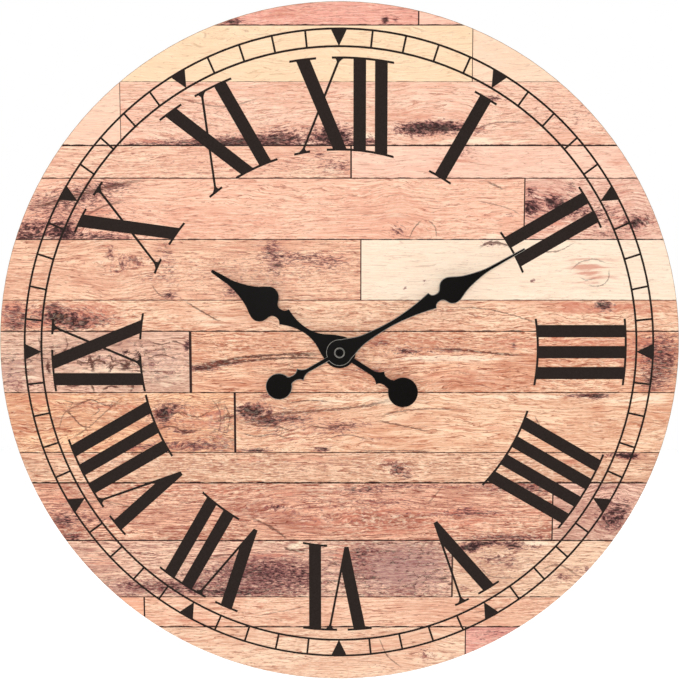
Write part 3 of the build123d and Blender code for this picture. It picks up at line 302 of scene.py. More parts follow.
def vein_fields(x, z, inside):
    """Signed distance from the nearest vein, its strength and its width."""
    best = np.full_like(x, np.inf)
    offset = np.zeros_like(x)
    strength = np.zeros_like(x)
    width = np.full_like(x, 0.4)
    for vein_width, darkness, points in VEINS:
        if not inside(*points[len(points) // 2]):
            continue
        corners = np.array(points, float)
        pieces = VEIN_STEPS * (len(points) - 1)
        steps = np.linspace(0, len(points) - 1, pieces + 1)
        vein_x, vein_z = smooth_line(corners[:, 0], steps), smooth_line(corners[:, 1], steps)
        for i in range(pieces):
            ax, az, bx, bz = vein_x[i], vein_z[i], vein_x[i + 1], vein_z[i + 1]
            length = math.hypot(bx - ax, bz - az)
            ux, uz = (bx - ax) / length, (bz - az) / length
            along = (x - ax) * ux + (z - az) * uz
            across = (x - ax) * -uz + (z - az) * ux
            beyond = np.maximum(np.maximum(-along, along - length), 0)
            distance = np.hypot(across, beyond)
            nearer = distance < best
            part = (i + np.clip(along / length, 0, 1)) / pieces
            # the ends fade, and so does everything further off than half the reach
            taper = np.clip(np.minimum(part, 1 - part) * VEIN_TAPER, 0, 1)
            fade = np.clip(2 - distance / (VEIN_REACH / 2), 0, 1) * np.clip(1.5 - beyond, 0, 1)
            best = np.where(nearer, distance, best)
            offset = np.where(nearer, across, offset)
            strength = np.where(nearer, darkness * taper * fade, strength)
            width = np.where(nearer, vein_width, width)
    return np.clip(offset, -VEIN_REACH, VEIN_REACH), strength, width


def plank_grid(left, right, bottom, top):
    """Points (x, z) of a plank cut to the disc, as rows x columns arrays."""
    low_angle = math.asin(max(bottom, -PRINT_R) / PRINT_R)
    high_angle = math.asin(min(top, PRINT_R) / PRINT_R)
    rows = max(4, round((high_angle - low_angle) * PRINT_R / PRINT_CELL))
    angles = np.linspace(low_angle, high_angle, rows + 1)
    half = PRINT_R * np.cos(angles)
    low = np.maximum(left, -half)
    high = np.maximum(np.minimum(right, half), low)
    columns = max(2, round((high - low).max() / PRINT_CELL))
    share = np.linspace(0, 1, columns + 1)
    x = low[:, None] + (high - low)[:, None] * share[None, :]
    return x, np.repeat((PRINT_R * np.sin(angles))[:, None], columns + 1, 1)


def plank_faces(x, z):
    """Corner numbers of a plank's faces, without those of no width and those under the washer."""
    index = np.arange(x.size).reshape(x.shape)
    quads = np.stack([index[:-1, :-1], index[:-1, 1:], index[1:, 1:], index[1:, :-1]], -1)
    width = np.abs(x[:-1, 1:] - x[:-1, :-1]) + np.abs(x[1:, 1:] - x[1:, :-1])
    middle_x = (x[:-1, :-1] + x[1:, 1:]) / 2
    middle_z = (z[:-1, :-1] + z[1:, 1:]) / 2
    return quads[(width > 1e-6) & (np.hypot(middle_x, middle_z) > WASHER_HIDES_R)]


def plank_fields(x, z, edges, seams, look, seed):
    """The print's fields on one plank's points: where its noise is read, and what is drawn there."""
    left, right, bottom, top = edges
    left_seam, right_seam, seam_below = seams
    light, dark, figure, wander = look

    def inside(mark_x, mark_z):
        return left <= mark_x < right and bottom <= mark_z < top

    ones = np.ones_like(x)
    beside_seam = np.minimum(x - left - left_seam / 2, right - x - right_seam / 2)
    return {
        "grain": np.stack([x, grain_height(x, z, inside), seed * ones], -1),
        "tone": np.outer(ones, linear(*light)),
        "streak": np.outer(ones, linear(*dark)),
        "marks": np.stack([blobs(x, z, kind, inside) for kind in (DARK, RED, GREY)], -1),
        "pale": blobs(x, z, PALE, inside),
        "figure": figure * ones,
        "wander": wander * ones,
        "vein": np.stack(vein_fields(x, z, inside), -1),
        "seam": np.stack([z - bottom, beside_seam, seam_below * ones], -1),
    }


def rim_and_back(first):
    """The sheet's edge and its back face, as (points, faces) numbered from first."""
    points, faces = [], []
    for y in (PRINT_FRONT, PRINT_BACK):
        for i in range(RIM_STEPS):
            a = 2 * math.pi * i / RIM_STEPS
            points.append((PRINT_R * math.cos(a) * MM, y * MM, (PRINT_R * math.sin(a) + DIAL_Z) * MM))
    behind = first + RIM_STEPS
    for i in range(RIM_STEPS):
        j = (i + 1) % RIM_STEPS
        faces.append((first + i, behind + i, behind + j, first + j))
    faces.append(tuple(range(behind, behind + RIM_STEPS)))
    return np.array(points), faces


def print_mesh():
    """The printed dial: a flat sheet of planks with a rim and a back, and the print's fields on it."""
    points, faces, fields = [], [], []
    count = 0
    for r, (top, seam_below, planks) in enumerate(ROWS):
        bottom = ROWS[r + 1][0] if r + 1 < len(ROWS) else -PRINT_R
        left, left_seam = -END, 0.0
        for p, (right, right_seam, *look) in enumerate(planks):
            edges = (left, right, bottom, top)
            seams = (left_seam, right_seam, seam_below)
            x, z = plank_grid(*edges)
            faces.append(count + plank_faces(x, z))
            x, z = x.ravel(), z.ravel()
            points.append(np.stack([x, np.full_like(x, PRINT_FRONT), z + DIAL_Z], -1))
            fields.append(plank_fields(x, z, edges, seams, look, ROW_SEED * r + PLANK_SEED * p))
            count += x.size
            left, left_seam = right, right_seam
    rim_points, rim_faces = rim_and_back(count)
    corners = np.concatenate([np.concatenate(points) * MM, rim_points])
    mesh = bpy.data.meshes.new("face_print_planks")
    mesh.from_pydata(corners.tolist(), [], np.concatenate(faces).tolist() + rim_faces)
    kinds = {1: ("FLOAT", "value"), 3: ("FLOAT_VECTOR", "vector"), 4: ("FLOAT_COLOR", "color")}
    for name in fields[0]:
        values = np.concatenate([plank[name] for plank in fields])
        # the rim and the back carry on with the last point's values
        values = np.concatenate([values, np.repeat(values[-1:], len(rim_points), 0)])
        kind, key = kinds[values.size // len(values)]
        layer = mesh.attributes.new(name, kind, "POINT")
        layer.data.foreach_set(key, values.astype(np.float32).ravel())
    mesh.validate()
    return mesh


# ---------------------------------------------------------------- materials
class Paint:
    """One material's node tree, with short names for the nodes that it is built from."""

    def __init__(self, name):
        self.material = bpy.data.materials.new(name)
        self.material.use_nodes = True
        self.tree = self.material.node_tree
        self.tree.nodes.clear()

    def add(self, kind, inputs=None, **settings):
        node = self.tree.nodes.new("ShaderNode" + kind)
        for key, value in settings.items():
            setattr(node, key, value)
        for key, value in (inputs or {}).items():
            self.feed(node.inputs[key], value)
        return node

    def feed(self, socket, value):
        if isinstance(value, bpy.types.NodeSocket):
            self.tree.links.new(value, socket)
        else:
            socket.default_value = value

    def math(self, operation, a, b=0.0, clamp=False):
        return self.add("Math", {0: a, 1: b}, operation=operation, use_clamp=clamp).outputs[0]

    def times(self, *values):
        out = values[0]
        for value in values[1:]:
            out = self.math("MULTIPLY", out, value)
        return out

    def ramp(self, value, low, high, to_low=0.0, to_high=1.0):
        inputs = {"Value": value, "From Min": low, "From Max": high, "To Min": to_low, "To Max": to_high}
        return self.add("MapRange", inputs, interpolation_type="SMOOTHSTEP").outputs["Result"]

    def mix(self, factor, a, b, blend="MIX"):
        node = self.add("Mix", data_type="RGBA", blend_type=blend)
        self.feed(node.inputs[0], factor)
        self.feed(node.inputs[6], a)
        self.feed(node.inputs[7], b)
        return node.outputs[2]

    def attribute(self, name, output="Vector"):
        return self.add("Attribute", attribute_name=name).outputs[output]

    def split(self, vector):
        return self.add("SeparateXYZ", {0: vector}).outputs

    def join(self, x, y, z):
        return self.add("CombineXYZ", {0: x, 1: y, 2: z}).outputs[0]

    def scaled(self, vector, factors):
        return self.add("VectorMath", {0: vector, 1: factors}, operation="MULTIPLY").outputs[0]

    def place(self):
        """The point's own place in the object, in millimetres."""
        return self.scaled(self.add("TexCoord").outputs["Object"], (1000, 1000, 1000))

    def noise(self, vector, scale=1.0, detail=3.0, roughness=0.5, distortion=0.0):
        inputs = {"Vector": vector, "Scale": scale, "Detail": detail, "Roughness": roughness,
                  "Distortion": distortion}
        return self.add("TexNoise", inputs).outputs[0]

    def cells(self, vector, scale, feature="F1"):
        return self.add("TexVoronoi", {"Vector": vector, "Scale": scale}, feature=feature).outputs["Distance"]

    def bump(self, height, distance):
        """A normal from a height whose whole range stands for this many millimetres."""
        return self.add("Bump", {"Height": height, "Distance": distance * MM, "Strength": 1.0}).outputs[0]

    def finish(self, **sockets):
        """The material, with these values or nodes on its shader's sockets."""
        shader = self.add("BsdfPrincipled")
        for key, value in sockets.items():
            self.feed(shader.inputs[key.replace("_", " ")], value)
        output = self.add("OutputMaterial")
        self.tree.links.new(shader.outputs[0], output.inputs[0])
        return self.material


def dial_print():
    """Satin print of weathered planks: grain, growth lines, stains, knots, cracks and seams."""
    p = Paint("dial_print")
    along, across, seed = p.split(p.attribute("grain"))
    dark_field, red_field, grey_field = p.split(p.attribute("marks"))
    pale_field = p.attribute("pale", "Fac")
    figure = p.attribute("figure", "Fac")
    wander = p.attribute("wander", "Fac")
    offset, vein_strength, vein_width = p.split(p.attribute("vein"))
    above_seam, beside_seam, seam_width = p.split(p.attribute("seam"))
    tone = p.attribute("tone", "Color")
    streak = p.attribute("streak", "Color")
    deep = p.mix(0.5, streak, linear(106, 42, 28))
    bright = p.mix(0.5, tone, linear(255, 236, 212))
    heartwood, weathered, sapwood = linear(200, 108, 84), linear(164, 122, 120), linear(254, 230, 202)
    crack_brown, vein_brown, seam_brown = linear(72, 42, 40), linear(84, 42, 34), linear(42, 20, 18)
    plum, dark_plum, near_black = linear(168, 104, 96), linear(96, 54, 58), linear(40, 20, 22)
    bare_wood, pale_fleck, pale_grit = linear(236, 190, 168), linear(255, 230, 196), linear(255, 232, 202)
    times = p.times

    def moved(noise, reach):
        """Noise as a shift of up to about half the reach, either way."""
        return times(p.math("SUBTRACT", noise, 0.5), reach)

    # The grain wanders up and down along each plank, in long waves and short ones.
    place = p.join(along, across, seed)
    long_wave = p.noise(p.scaled(place, (0.016, 0.05, 1)), 1.0, 2.0)
    short_wave = p.noise(p.scaled(place, (0.075, 0.16, 1)), 1.0, 2.0)
    shiver = p.noise(p.scaled(place, (0.45, 0.9, 1)), 1.0, 2.0)
    waves = p.math("ADD", moved(long_wave, 9.0), moved(short_wave, 3.2))
    bent = p.math("ADD", p.math("ADD", across, times(waves, wander)), moved(shiver, 0.4))
    wood = p.join(along, bent, seed)

    # Noise from broad to fine, stretched along the grain. The third factor sets some of them apart.
    bands = p.noise(p.scaled(wood, (0.014, 0.24, 1)), 1.0, 3.0, 0.6)
    patches = p.noise(p.scaled(place, (0.022, 0.08, 1)), 1.0, 2.0, 0.5)
    smear = p.noise(p.scaled(wood, (0.06, 0.60, 7)), 1.0, 4.0, 0.62)
    fibres = p.noise(p.scaled(wood, (0.10, 1.5, 1)), 1.0, 4.0, 0.65)
    flecks = p.noise(p.scaled(wood, (0.40, 1.7, 3)), 1.0, 5.0, 0.70)
    mottle = p.noise(p.scaled(wood, (0.42, 0.95, 5)), 1.0, 6.0, 0.74)
    speckle = p.noise(p.scaled(wood, (0.20, 1.30, 2)), 1.0, 3.0, 0.7)
    grit = p.noise(p.scaled(wood, (0.42, 1.75, 4)), 1.0, 1.5, 0.6)

    # Growth rings darken slowly and end in a sharp edge. Finer lines of pores run between them.
    ring_height = p.math("ADD", times(bands, 10.0), times(bent, 0.22))
    ring = p.math("FRACT", ring_height)
    late = times(p.ramp(ring, 0.25, 0.95), p.ramp(ring, 1.0, 0.97))
    edge = times(p.ramp(ring, 0.82, 0.94), p.ramp(ring, 1.0, 0.98))
    pore_lines = p.math("FRACT", p.math("ADD", times(smear, 3.2), times(bent, 0.42)))
    pore = times(p.ramp(pore_lines, 0.78, 0.90), p.ramp(pore_lines, 1.0, 0.95), p.ramp(mottle, 0.42, 0.54),
                 p.ramp(patches, 0.62, 0.42, 0.15, 1.0))

    colour = p.mix(times(p.ramp(patches, 0.44, 0.62, 0.0, 0.5), figure), tone, streak)
    colour = p.mix(times(late, p.ramp(smear, 0.36, 0.60, 0.2, 0.75), figure), colour, streak)
    colour = p.mix(times(p.ramp(fibres, 0.50, 0.60, 0.0, 0.6), figure), colour, streak)
    colour = p.mix(p.ramp(fibres, 0.47, 0.36, 0.0, 0.55), colour, bright)
    colour = p.mix(times(edge, p.ramp(smear, 0.38, 0.52, 0.0, 1.0), figure), colour, deep)
    colour = p.mix(times(pore, figure, 0.85), colour, deep)

    # Red heartwood, weathered grey wood and pale sapwood come in as ragged streaks.
    red = p.math("SUBTRACT", times(red_field, 1.5), p.ramp(smear, 0.32, 0.68))
    colour = p.mix(p.ramp(red, -0.15, 0.55, 0.0, 0.66), colour, heartwood)
    grey = p.math("SUBTRACT", times(grey_field, 1.4), p.ramp(mottle, 0.32, 0.68))
    colour = p.mix(p.ramp(grey, -0.1, 0.5, 0.0, 0.6), colour, weathered)
    pale = p.math("SUBTRACT", times(pale_field, 1.5), p.ramp(smear, 0.32, 0.66))
    colour = p.mix(p.ramp(pale, -0.1, 0.7, 0.0, 0.8), colour, sapwood)

    # Short dark dashes lie along the grain, more of them in the streaked wood.
    dash = times(p.ramp(flecks, 0.585, 0.62), p.ramp(smear, 0.42, 0.60, 0.12, 1.0), figure)
    colour = p.mix(dash, colour, deep)

    # Cracks in the weathered wood.
    crack_along = p.math("ADD", along, moved(mottle, 9.0))
    crack_across = p.math("ADD", across, moved(flecks, 5.0))
    crack_place = p.scaled(p.join(crack_along, crack_across, seed), (0.16, 0.30, 1))
    crack = p.cells(crack_place, 1.0, "DISTANCE_TO_EDGE")
    cracked = times(p.ramp(crack, 0.06, 0.02), p.ramp(grey_field, 0.12, 0.4), p.ramp(smear, 0.44, 0.54))
    colour = p.mix(cracked, colour, crack_brown)

    # Plum stains with near-black hearts, broken by bright flecks of bare wood.
    ragged = p.math("ADD", times(p.ramp(mottle, 0.32, 0.68), 0.5), times(p.ramp(flecks, 0.38, 0.62), 0.7))
    stain = p.math("SUBTRACT", times(dark_field, 1.55), ragged)
    colour = p.mix(p.ramp(stain, -0.20, 0.06, 0.0, 0.60), colour, plum)
    colour = p.mix(p.ramp(stain, 0.08, 0.28, 0.0, 0.82), colour, dark_plum)
    colour = p.mix(p.ramp(stain, 0.40, 0.62, 0.0, 0.92), colour, near_black)
    bare = times(p.ramp(dark_field, 0.25, 0.6), p.ramp(fibres, 0.42, 0.34), p.ramp(speckle, 0.50, 0.60))
    colour = p.mix(times(bare, 0.4), colour, bare_wood)

    # Veins wobble and break up along their length.
    from_vein = p.math("ABSOLUTE", p.math("ADD", offset, moved(mottle, 1.3)))
    vein_half = times(vein_width, p.ramp(flecks, 0.34, 0.60, 0.3, 1.5))
    vein = p.math("SUBTRACT", 1.0, p.math("DIVIDE", from_vein, vein_half), clamp=True)
    vein = p.math("MULTIPLY", vein, 3.0, clamp=True)
    colour = p.mix(times(vein, vein_strength), colour, vein_brown)

    # The print's own mottle: dark and pale flecks, and finer grit. Stains have few pale ones.
    rough_print = times(figure, figure, p.ramp(long_wave, 0.40, 0.60, 0.15, 1.0))
    shaded = p.ramp(p.math("MAXIMUM", dark_field, grey_field), 0.2, 0.7, 1.0, 0.3)
    colour = p.mix(times(p.ramp(speckle, 0.54, 0.66), rough_print, 0.42), colour, deep)
    colour = p.mix(times(p.ramp(speckle, 0.48, 0.36), rough_print, shaded, 0.42), colour, pale_fleck)
    colour = p.mix(times(p.ramp(grit, 0.56, 0.66), rough_print, 0.40), colour, deep)
    colour = p.mix(times(p.ramp(grit, 0.45, 0.35), rough_print, shaded, 0.40), colour, pale_grit)

    # Seams between the planks, uneven in width.
    seam_noise = p.noise(p.scaled(place, (0.16, 0.0, 1)), 1.0, 4.0, 0.6)
    row_width = times(seam_width, p.ramp(seam_noise, 0.28, 0.70, 0.5, 1.3))
    under = p.math("SUBTRACT", 1.0, p.math("DIVIDE", above_seam, row_width), clamp=True)
    under = p.math("MULTIPLY", under, 3.0, clamp=True)
    beside = p.ramp(beside_seam, 0.12, 0.0)
    seams = times(p.math("MAXIMUM", under, beside), p.ramp(seam_noise, 0.30, 0.5, 0.82, 1.0))
    colour = p.mix(seams, colour, seam_brown)

    # A satin film, slightly uneven.
    film = p.noise(p.place(), 2.2, 3.0, 0.6)
    relief = p.bump(p.noise(p.place(), 3.5, 2.0), 0.012)
    return p.finish(Base_Color=colour, Roughness=p.ramp(film, 0.3, 0.7, 0.50, 0.62), Normal=relief,
                    Specular_IOR_Level=0.1)


def printed_ink():
    """Matt black ink, a little thin in places and with pinholes."""
    p = Paint("printed_ink")
    place = p.place()
    weave = p.noise(place, 1.9, 4.0, 0.65)
    pinholes = p.ramp(p.noise(place, 0.75, 5.0, 0.7), 0.70, 0.78, 0.0, 0.55)
    colour = p.mix(p.ramp(weave, 0.3, 0.7), linear(36, 29, 26), linear(46, 38, 34))
    colour = p.mix(pinholes, colour, linear(120, 98, 88))
    return p.finish(Base_Color=colour, Roughness=p.ramp(weave, 0.3, 0.7, 0.55, 0.7),
                    Normal=p.bump(weave, 0.01), Specular_IOR_Level=0.04)


def satin_black():
    """Black paint with a fine orange peel, specks of dust and a grey painted highlight on the rounded edges.
    """
    p = Paint("satin_black")
    place = p.place()
    orange_peel = p.noise(place, 1.4, 3.0, 0.55)
    dust = p.ramp(p.noise(place, 2.6, 2.0, 0.5), 0.74, 0.80, 0.0, 0.5)
    colour = p.mix(p.ramp(orange_peel, 0.3, 0.7), linear(8, 6, 5), linear(15, 12, 11))
    colour = p.mix(dust, colour, linear(92, 88, 84))
    # painted highlight: light grey painted on the rounded edges, where light glints along them
    painted_edge_highlight = p.math("MULTIPLY", p.attribute("painted_edge_highlight", "Fac"), p.ramp(orange_peel, 0.25, 0.6, 0.6, 1.0))
    colour = p.mix(painted_edge_highlight, colour, linear(156, 152, 144))
    return p.finish(Base_Color=colour, Roughness=p.ramp(orange_peel, 0.3, 0.7, 0.30, 0.42),
                    Normal=p.bump(orange_peel, 0.01), Specular_IOR_Level=0.02)


def moulded(name, light, dark, rough=(0.45, 0.6), texture=3.2, depth=0.02):
    """Moulded plastic or rubber with a fine spark-eroded texture."""
    p = Paint(name)
    place = p.place()
    cloud = p.noise(place, 0.12, 3.0)
    pits = p.noise(place, texture, 3.0, 0.6)
    colour = p.mix(p.ramp(cloud, 0.3, 0.7), linear(*dark), linear(*light))
    colour = p.mix(p.ramp(pits, 0.62, 0.75, 0.0, 0.3), colour, linear(*light))
    return p.finish(Base_Color=colour, Roughness=p.ramp(pits, 0.3, 0.7, *rough), Normal=p.bump(pits, depth))


def plated(name, light, dark, rough=(0.22, 0.42), along=(0.4, 6.0, 6.0)):
    """Drawn or rolled metal: fine lines one way, blotches of oxide."""
    p = Paint(name)
    place = p.place()
    drawn = p.noise(p.scaled(place, along), 1.0, 3.0, 0.6)
    oxide = p.noise(place, 0.35, 4.0, 0.6)
    colour = p.mix(p.ramp(oxide, 0.35, 0.7), linear(*light), linear(*dark))
    colour = p.mix(p.ramp(drawn, 0.55, 0.75, 0.0, 0.4), colour, linear(*dark))
    return p.finish(Base_Color=colour, Metallic=1.0, Roughness=p.ramp(drawn, 0.3, 0.7, *rough),
                    Normal=p.bump(drawn, 0.006))


def raw_board():
    """Unpainted fibreboard: pressed fibres, darker flecks, sanded face."""
    p = Paint("raw_board")
    place = p.place()
    fluff = p.noise(place, 0.9, 6.0, 0.7, 0.6)
    strands = p.noise(p.scaled(place, (0.25, 1.0, 0.9)), 1.0, 5.0, 0.65, 1.2)
    chips = p.cells(place, 0.55)
    cloud = p.noise(place, 0.02, 3.0)
    colour = p.mix(p.ramp(fluff, 0.3, 0.7), linear(150, 112, 76), linear(186, 148, 106))
    colour = p.mix(p.ramp(cloud, 0.35, 0.65, 0.0, 0.35), colour, linear(168, 128, 88))
    colour = p.mix(p.ramp(strands, 0.58, 0.72, 0.0, 0.55), colour, linear(104, 72, 46))
    colour = p.mix(p.ramp(chips, 0.16, 0.05, 0.0, 0.5), colour, linear(204, 172, 130))
    height = p.math("ADD", fluff, p.math("MULTIPLY", strands, 0.6))
    return p.finish(Base_Color=colour, Roughness=0.86, Normal=p.bump(height, 0.05), Specular_IOR_Level=0.2)


def copper_winding():
    """Fine enamelled wire: turns side by side round the bobbin."""
    p = Paint("copper_winding")
    wire = 0.22                 # from one turn to the next, mm
    along = p.split(p.place())[0]
    turns = p.math("SINE", p.math("MULTIPLY", along, 2 * math.pi / wire))
    wander = p.noise(p.place(), 1.2, 3.0)
    colour = p.mix(p.ramp(wander, 0.3, 0.7), linear(196, 108, 62), linear(150, 70, 38))
    # painted shade: darker in the grooves between the turns
    colour = p.mix(p.ramp(turns, 0.0, -1.0, 0.0, 0.6), colour, linear(70, 30, 18))
    return p.finish(Base_Color=colour, Metallic=0.9, Roughness=0.32, Normal=p.bump(turns, 0.05))


def circuit_green():
    """Green solder mask with the glass weave faintly showing."""
    p = Paint("circuit_green")
    threads = 9.0               # radians of the weave to the millimetre
    across, _, up = p.split(p.place())
    warp = p.math("SINE", p.math("MULTIPLY", across, threads))
    weft = p.math("SINE", p.math("MULTIPLY", up, threads))
    weave = p.math("MULTIPLY", warp, weft)
    mask = p.noise(p.place(), 0.6, 3.0)
    colour = p.mix(p.ramp(mask, 0.35, 0.65), linear(22, 92, 58), linear(34, 116, 72))
    colour = p.mix(p.ramp(weave, 0.2, 1.0, 0.0, 0.25), colour, linear(66, 140, 92))
    return p.finish(Base_Color=colour, Roughness=0.35, Normal=p.bump(weave, 0.01))


def cell_film():
    """Plain shrink film of a generic cell: pale grey with two thin lines, no lettering."""
    p = Paint("cell_film")
    place = p.place()
    along = p.split(place)[0]
    blur = 0.2                  # softness of the lines' edges, mm

    def line(start, end):
        return p.math("MULTIPLY", p.ramp(along, start, start + blur), p.ramp(along, end, end - blur))

    lines = p.math("MAXIMUM", line(12.0, 15.2), line(10.2, 11.2))
    scuff = p.noise(p.scaled(place, (1.6, 0.3, 0.3)), 1.0, 4.0, 0.65)
    colour = p.mix(lines, linear(190, 194, 196), linear(74, 96, 92))
    colour = p.mix(p.ramp(scuff, 0.6, 0.75, 0.0, 0.35), colour, linear(150, 150, 150))
    return p.finish(Base_Color=colour, Roughness=p.ramp(scuff, 0.3, 0.7, 0.22, 0.38),
                    Normal=p.bump(scuff, 0.01), Coat_Weight=0.4)


# one material for each slot of the record
MATERIALS = {
    "board": raw_board(),
    "print": dial_print(),
    "ink": printed_ink(),
    "hand_black": satin_black(),
    "brass": plated("satin_brass", (214, 180, 104), (150, 112, 54), (0.25, 0.4), (2.0, 2.0, 2.0)),
    "steel": plated("zinc_plate", (206, 208, 210), (150, 152, 150), (0.28, 0.45), (1.2, 1.2, 1.2)),
    "rubber": moulded("gasket_rubber", (44, 44, 44), (24, 24, 24), (0.7, 0.85), 2.0, 0.05),
    "case_plastic": moulded("case_black", (44, 44, 46), (28, 28, 30), (0.42, 0.6), 2.4, 0.035),
    "gear_plastic": moulded("acetal", (236, 233, 222), (214, 210, 196), (0.3, 0.42), 1.6, 0.01),
    "knob_plastic": moulded("knob_white", (226, 224, 216), (204, 201, 192), (0.3, 0.45), 2.2, 0.015),
    "magnet": plated("sintered_magnet", (120, 120, 124), (72, 72, 76), (0.45, 0.6), (2.0, 2.0, 2.0)),
    "iron": plated("soft_iron", (176, 176, 180), (124, 122, 120), (0.3, 0.5), (0.5, 5.0, 5.0)),
    "copper": copper_winding(),
    "board_green": circuit_green(),
    "resin": moulded("potting_resin", (26, 24, 24), (12, 12, 12), (0.15, 0.3), 0.8, 0.02),
    "cell_steel": plated("nickel_can", (222, 222, 224), (172, 172, 174), (0.15, 0.3), (3.0, 0.5, 0.5)),
    "sleeve": cell_film(),
}


def paint_cad_nodes():
    for node in frame["nodes"].values():
        for i, material in enumerate(node.data.materials):
            node.data.materials[i] = MATERIALS[material.name]


# ---------------------------------------------------------------- pieces that replace CAD nodes
def body_of_node(name):
    for body, names in frame["record"]["behaviour"]["bodies"].items():
        if name in names:
            return body
    raise KeyError(name)


# Each rounded node: its name and slot, width of the rounding in mm, strength of the grey painted highlight on
# the rounding, and whether the bevel is held back where two edges are close.
ROUNDED = [
    ("hour_hand", "hand_black", 0.15, 0.1, False),
    ("minute_hand", "hand_black", 0.24, 0.85, False),
    ("hand_nut", "hand_black", 0.18, 0.75, True),
    ("dial_board", "board", 0.5, 0, True),
    ("mounting_nut", "brass", 0.2, 0, True),
    ("dial_washer", "brass", 0.1, 0, True),
    ("setting_knob", "knob_plastic", 0.2, 0, True),
    ("hanger", "steel", 0.2, 0, True),
]
SAME_POINT = 0.002              # corners of the CAD mesh this close are one, mm
FLAT_ANGLE = 0.5                # faces that meet at less than this are one, degrees
SHARP_ANGLE = 35                # edges that turn by more than this are rounded, degrees


def rounded(name, slot, width, painted_edge_highlight, clamp):
    """A copy of a CAD node whose sharp edges are rounded over and perhaps given a grey painted highlight,
    standing in for it.
    """
    mesh = frame["nodes"][name].data.copy()
    mesh.name = name + "_rounded"
    bm = bmesh.new()
    bm.from_mesh(mesh)
    bmesh.ops.remove_doubles(bm, verts=bm.verts, dist=SAME_POINT * MM)
    bmesh.ops.dissolve_limit(bm, angle_limit=math.radians(FLAT_ANGLE), verts=bm.verts, edges=bm.edges)
    for face in bm.faces:
        face.smooth = True
    bm.to_mesh(mesh)
    bm.free()
    for layer in ("custom_normal", "sharp_edge", "sharp_face"):
        if mesh.attributes.get(layer):
            mesh.attributes.remove(mesh.attributes[layer])
    piece = bpy.data.objects.new(name + "_rounded", mesh)
    bpy.context.scene.collection.objects.link(piece)
    # a second material slot, which the bevel's own faces use
    mesh.materials.clear()
    mesh.materials.append(MATERIALS[slot])
    mesh.materials.append(MATERIALS[slot])
    bevel = piece.modifiers.new("edge", "BEVEL")
    bevel.width = width * MM
    bevel.segments = 2
    bevel.limit_method = "ANGLE"
    bevel.angle_limit = math.radians(SHARP_ANGLE)
    bevel.use_clamp_overlap = clamp
    bevel.harden_normals = True
    bevel.material = 1
    bpy.context.view_layer.update()
    evaluated = piece.evaluated_get(bpy.context.evaluated_depsgraph_get())
    piece.data = bpy.data.meshes.new_from_object(evaluated)
    piece.modifiers.clear()
    # the second slot becomes the attribute that carries the painted edge highlight
    faces = len(piece.data.polygons)
    on_edge = np.zeros(faces, np.int32)
    piece.data.polygons.foreach_get("material_index", on_edge)
    layer = piece.data.attributes.new("painted_edge_highlight", "FLOAT", "FACE")
    layer.data.foreach_set("value", (on_edge * painted_edge_highlight).astype(np.float32))
    piece.data.polygons.foreach_set("material_index", np.zeros(faces, np.int32))
    piece.data.materials.clear()
    piece.data.materials.append(MATERIALS[slot])
    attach(piece, body_of_node(name))
    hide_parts(name)


def printed_face():
    """The sheet of planks, standing in for the CAD's plain disc."""
    mesh = print_mesh()
    mesh.materials.append(MATERIALS["print"])
    piece = bpy.data.objects.new("face_print_planks", mesh)
    bpy.context.scene.collection.objects.link(piece)
    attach(piece, "clock")
    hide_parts("face_print")


# ---------------------------------------------------------------- floor, light and camera
ROOM_LIGHT = 0.42
# Each lamp: its place and the point it faces (metres), its width and height, and its power in watts.
LAMPS = [
    ("front", (-0.06, -1.55, 0.10), DIAL_MIDDLE, 0.35, 0.35, 11.2),
    ("side", (-0.80, -0.90, 0.40), DIAL_MIDDLE, 0.5, 0.4, 0.9),
    ("behind", (0.25, 0.75, 0.60), DIAL_MIDDLE, 0.5, 0.3, 3.0),
    ("floor", (0.0, 0.70, 0.75), (0.0, 0.70, -0.30), 1.8, 1.2, 14.0),
]


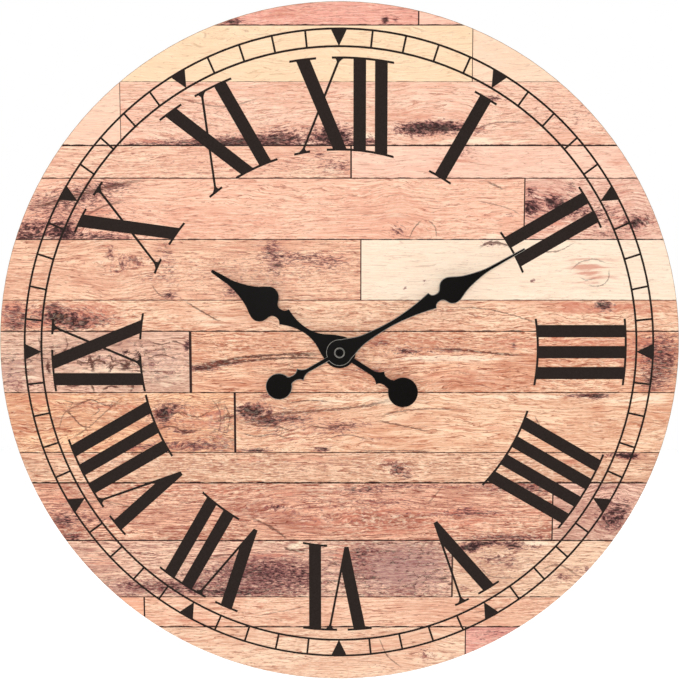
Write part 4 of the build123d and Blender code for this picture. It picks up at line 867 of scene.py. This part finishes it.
def studio():
    """A white floor, white surroundings and the lamps."""
    side, back, level = 1.7, 1.15, -0.30    # metres
    mesh = bpy.data.meshes.new("floor")
    corners = [(-side, -side, level), (side, -side, level), (side, back, level), (-side, back, level)]
    mesh.from_pydata(corners, [], [(0, 1, 2, 3)])
    p = Paint("floor_white")
    shade = p.noise(p.add("TexCoord").outputs["Object"], 3.0, 3.0)
    white = p.mix(shade, linear(250, 250, 250), linear(253, 253, 253))
    mesh.materials.append(p.finish(Base_Color=white, Roughness=0.8, Specular_IOR_Level=0.1))
    floor = bpy.data.objects.new("floor", mesh)
    bpy.context.scene.collection.objects.link(floor)

    world = bpy.data.worlds.new("studio")
    world.use_nodes = True
    tree = world.node_tree
    background = tree.nodes["Background"]
    background.inputs[0].default_value = (1, 1, 1, 1)
    # seen directly the room is pure white, but it only lights the object softly
    seen = tree.nodes.new("ShaderNodeLightPath")
    strength = tree.nodes.new("ShaderNodeMapRange")
    strength.inputs["To Min"].default_value = ROOM_LIGHT
    strength.inputs["To Max"].default_value = 1.0
    tree.links.new(seen.outputs["Is Camera Ray"], strength.inputs["Value"])
    tree.links.new(strength.outputs["Result"], background.inputs[1])
    bpy.context.scene.world = world

    for name, place, aim, width, height, power in LAMPS:
        light = bpy.data.lights.new(name, "AREA")
        light.shape = "RECTANGLE"
        light.size = width
        light.size_y = height
        light.energy = power
        lamp = bpy.data.objects.new(name, light)
        lamp.location = Vector(place)
        lamp.rotation_euler = (Vector(aim) - lamp.location).to_track_quat("-Z", "Y").to_euler()
        bpy.context.scene.collection.objects.link(lamp)


def camera():
    """Close in front, a little above the dial's centre, tilted down slightly further than at the dial."""
    elevation = math.radians(4.4)
    tilt = math.radians(5.5)
    distance = 436 * MM
    # the lens and the shift frame the dial as it is in the photo
    data = bpy.data.cameras.new("camera")
    data.sensor_width = 36
    data.lens = 51.45
    data.shift_y = 0.044
    data.clip_start = 0.01
    viewer = bpy.data.objects.new("camera", data)
    towards = Vector((0, -math.cos(elevation), math.sin(elevation)))
    viewer.location = Vector(DIAL_MIDDLE) + distance * towards
    viewer.rotation_euler = (math.radians(90) - tilt, 0, 0)
    bpy.context.scene.collection.objects.link(viewer)
    bpy.context.scene.camera = viewer


paint_cad_nodes()
printed_face()
for spec in ROUNDED:
    rounded(*spec)
studio()
camera()
bpy.context.scene.view_settings.view_transform = "Standard"
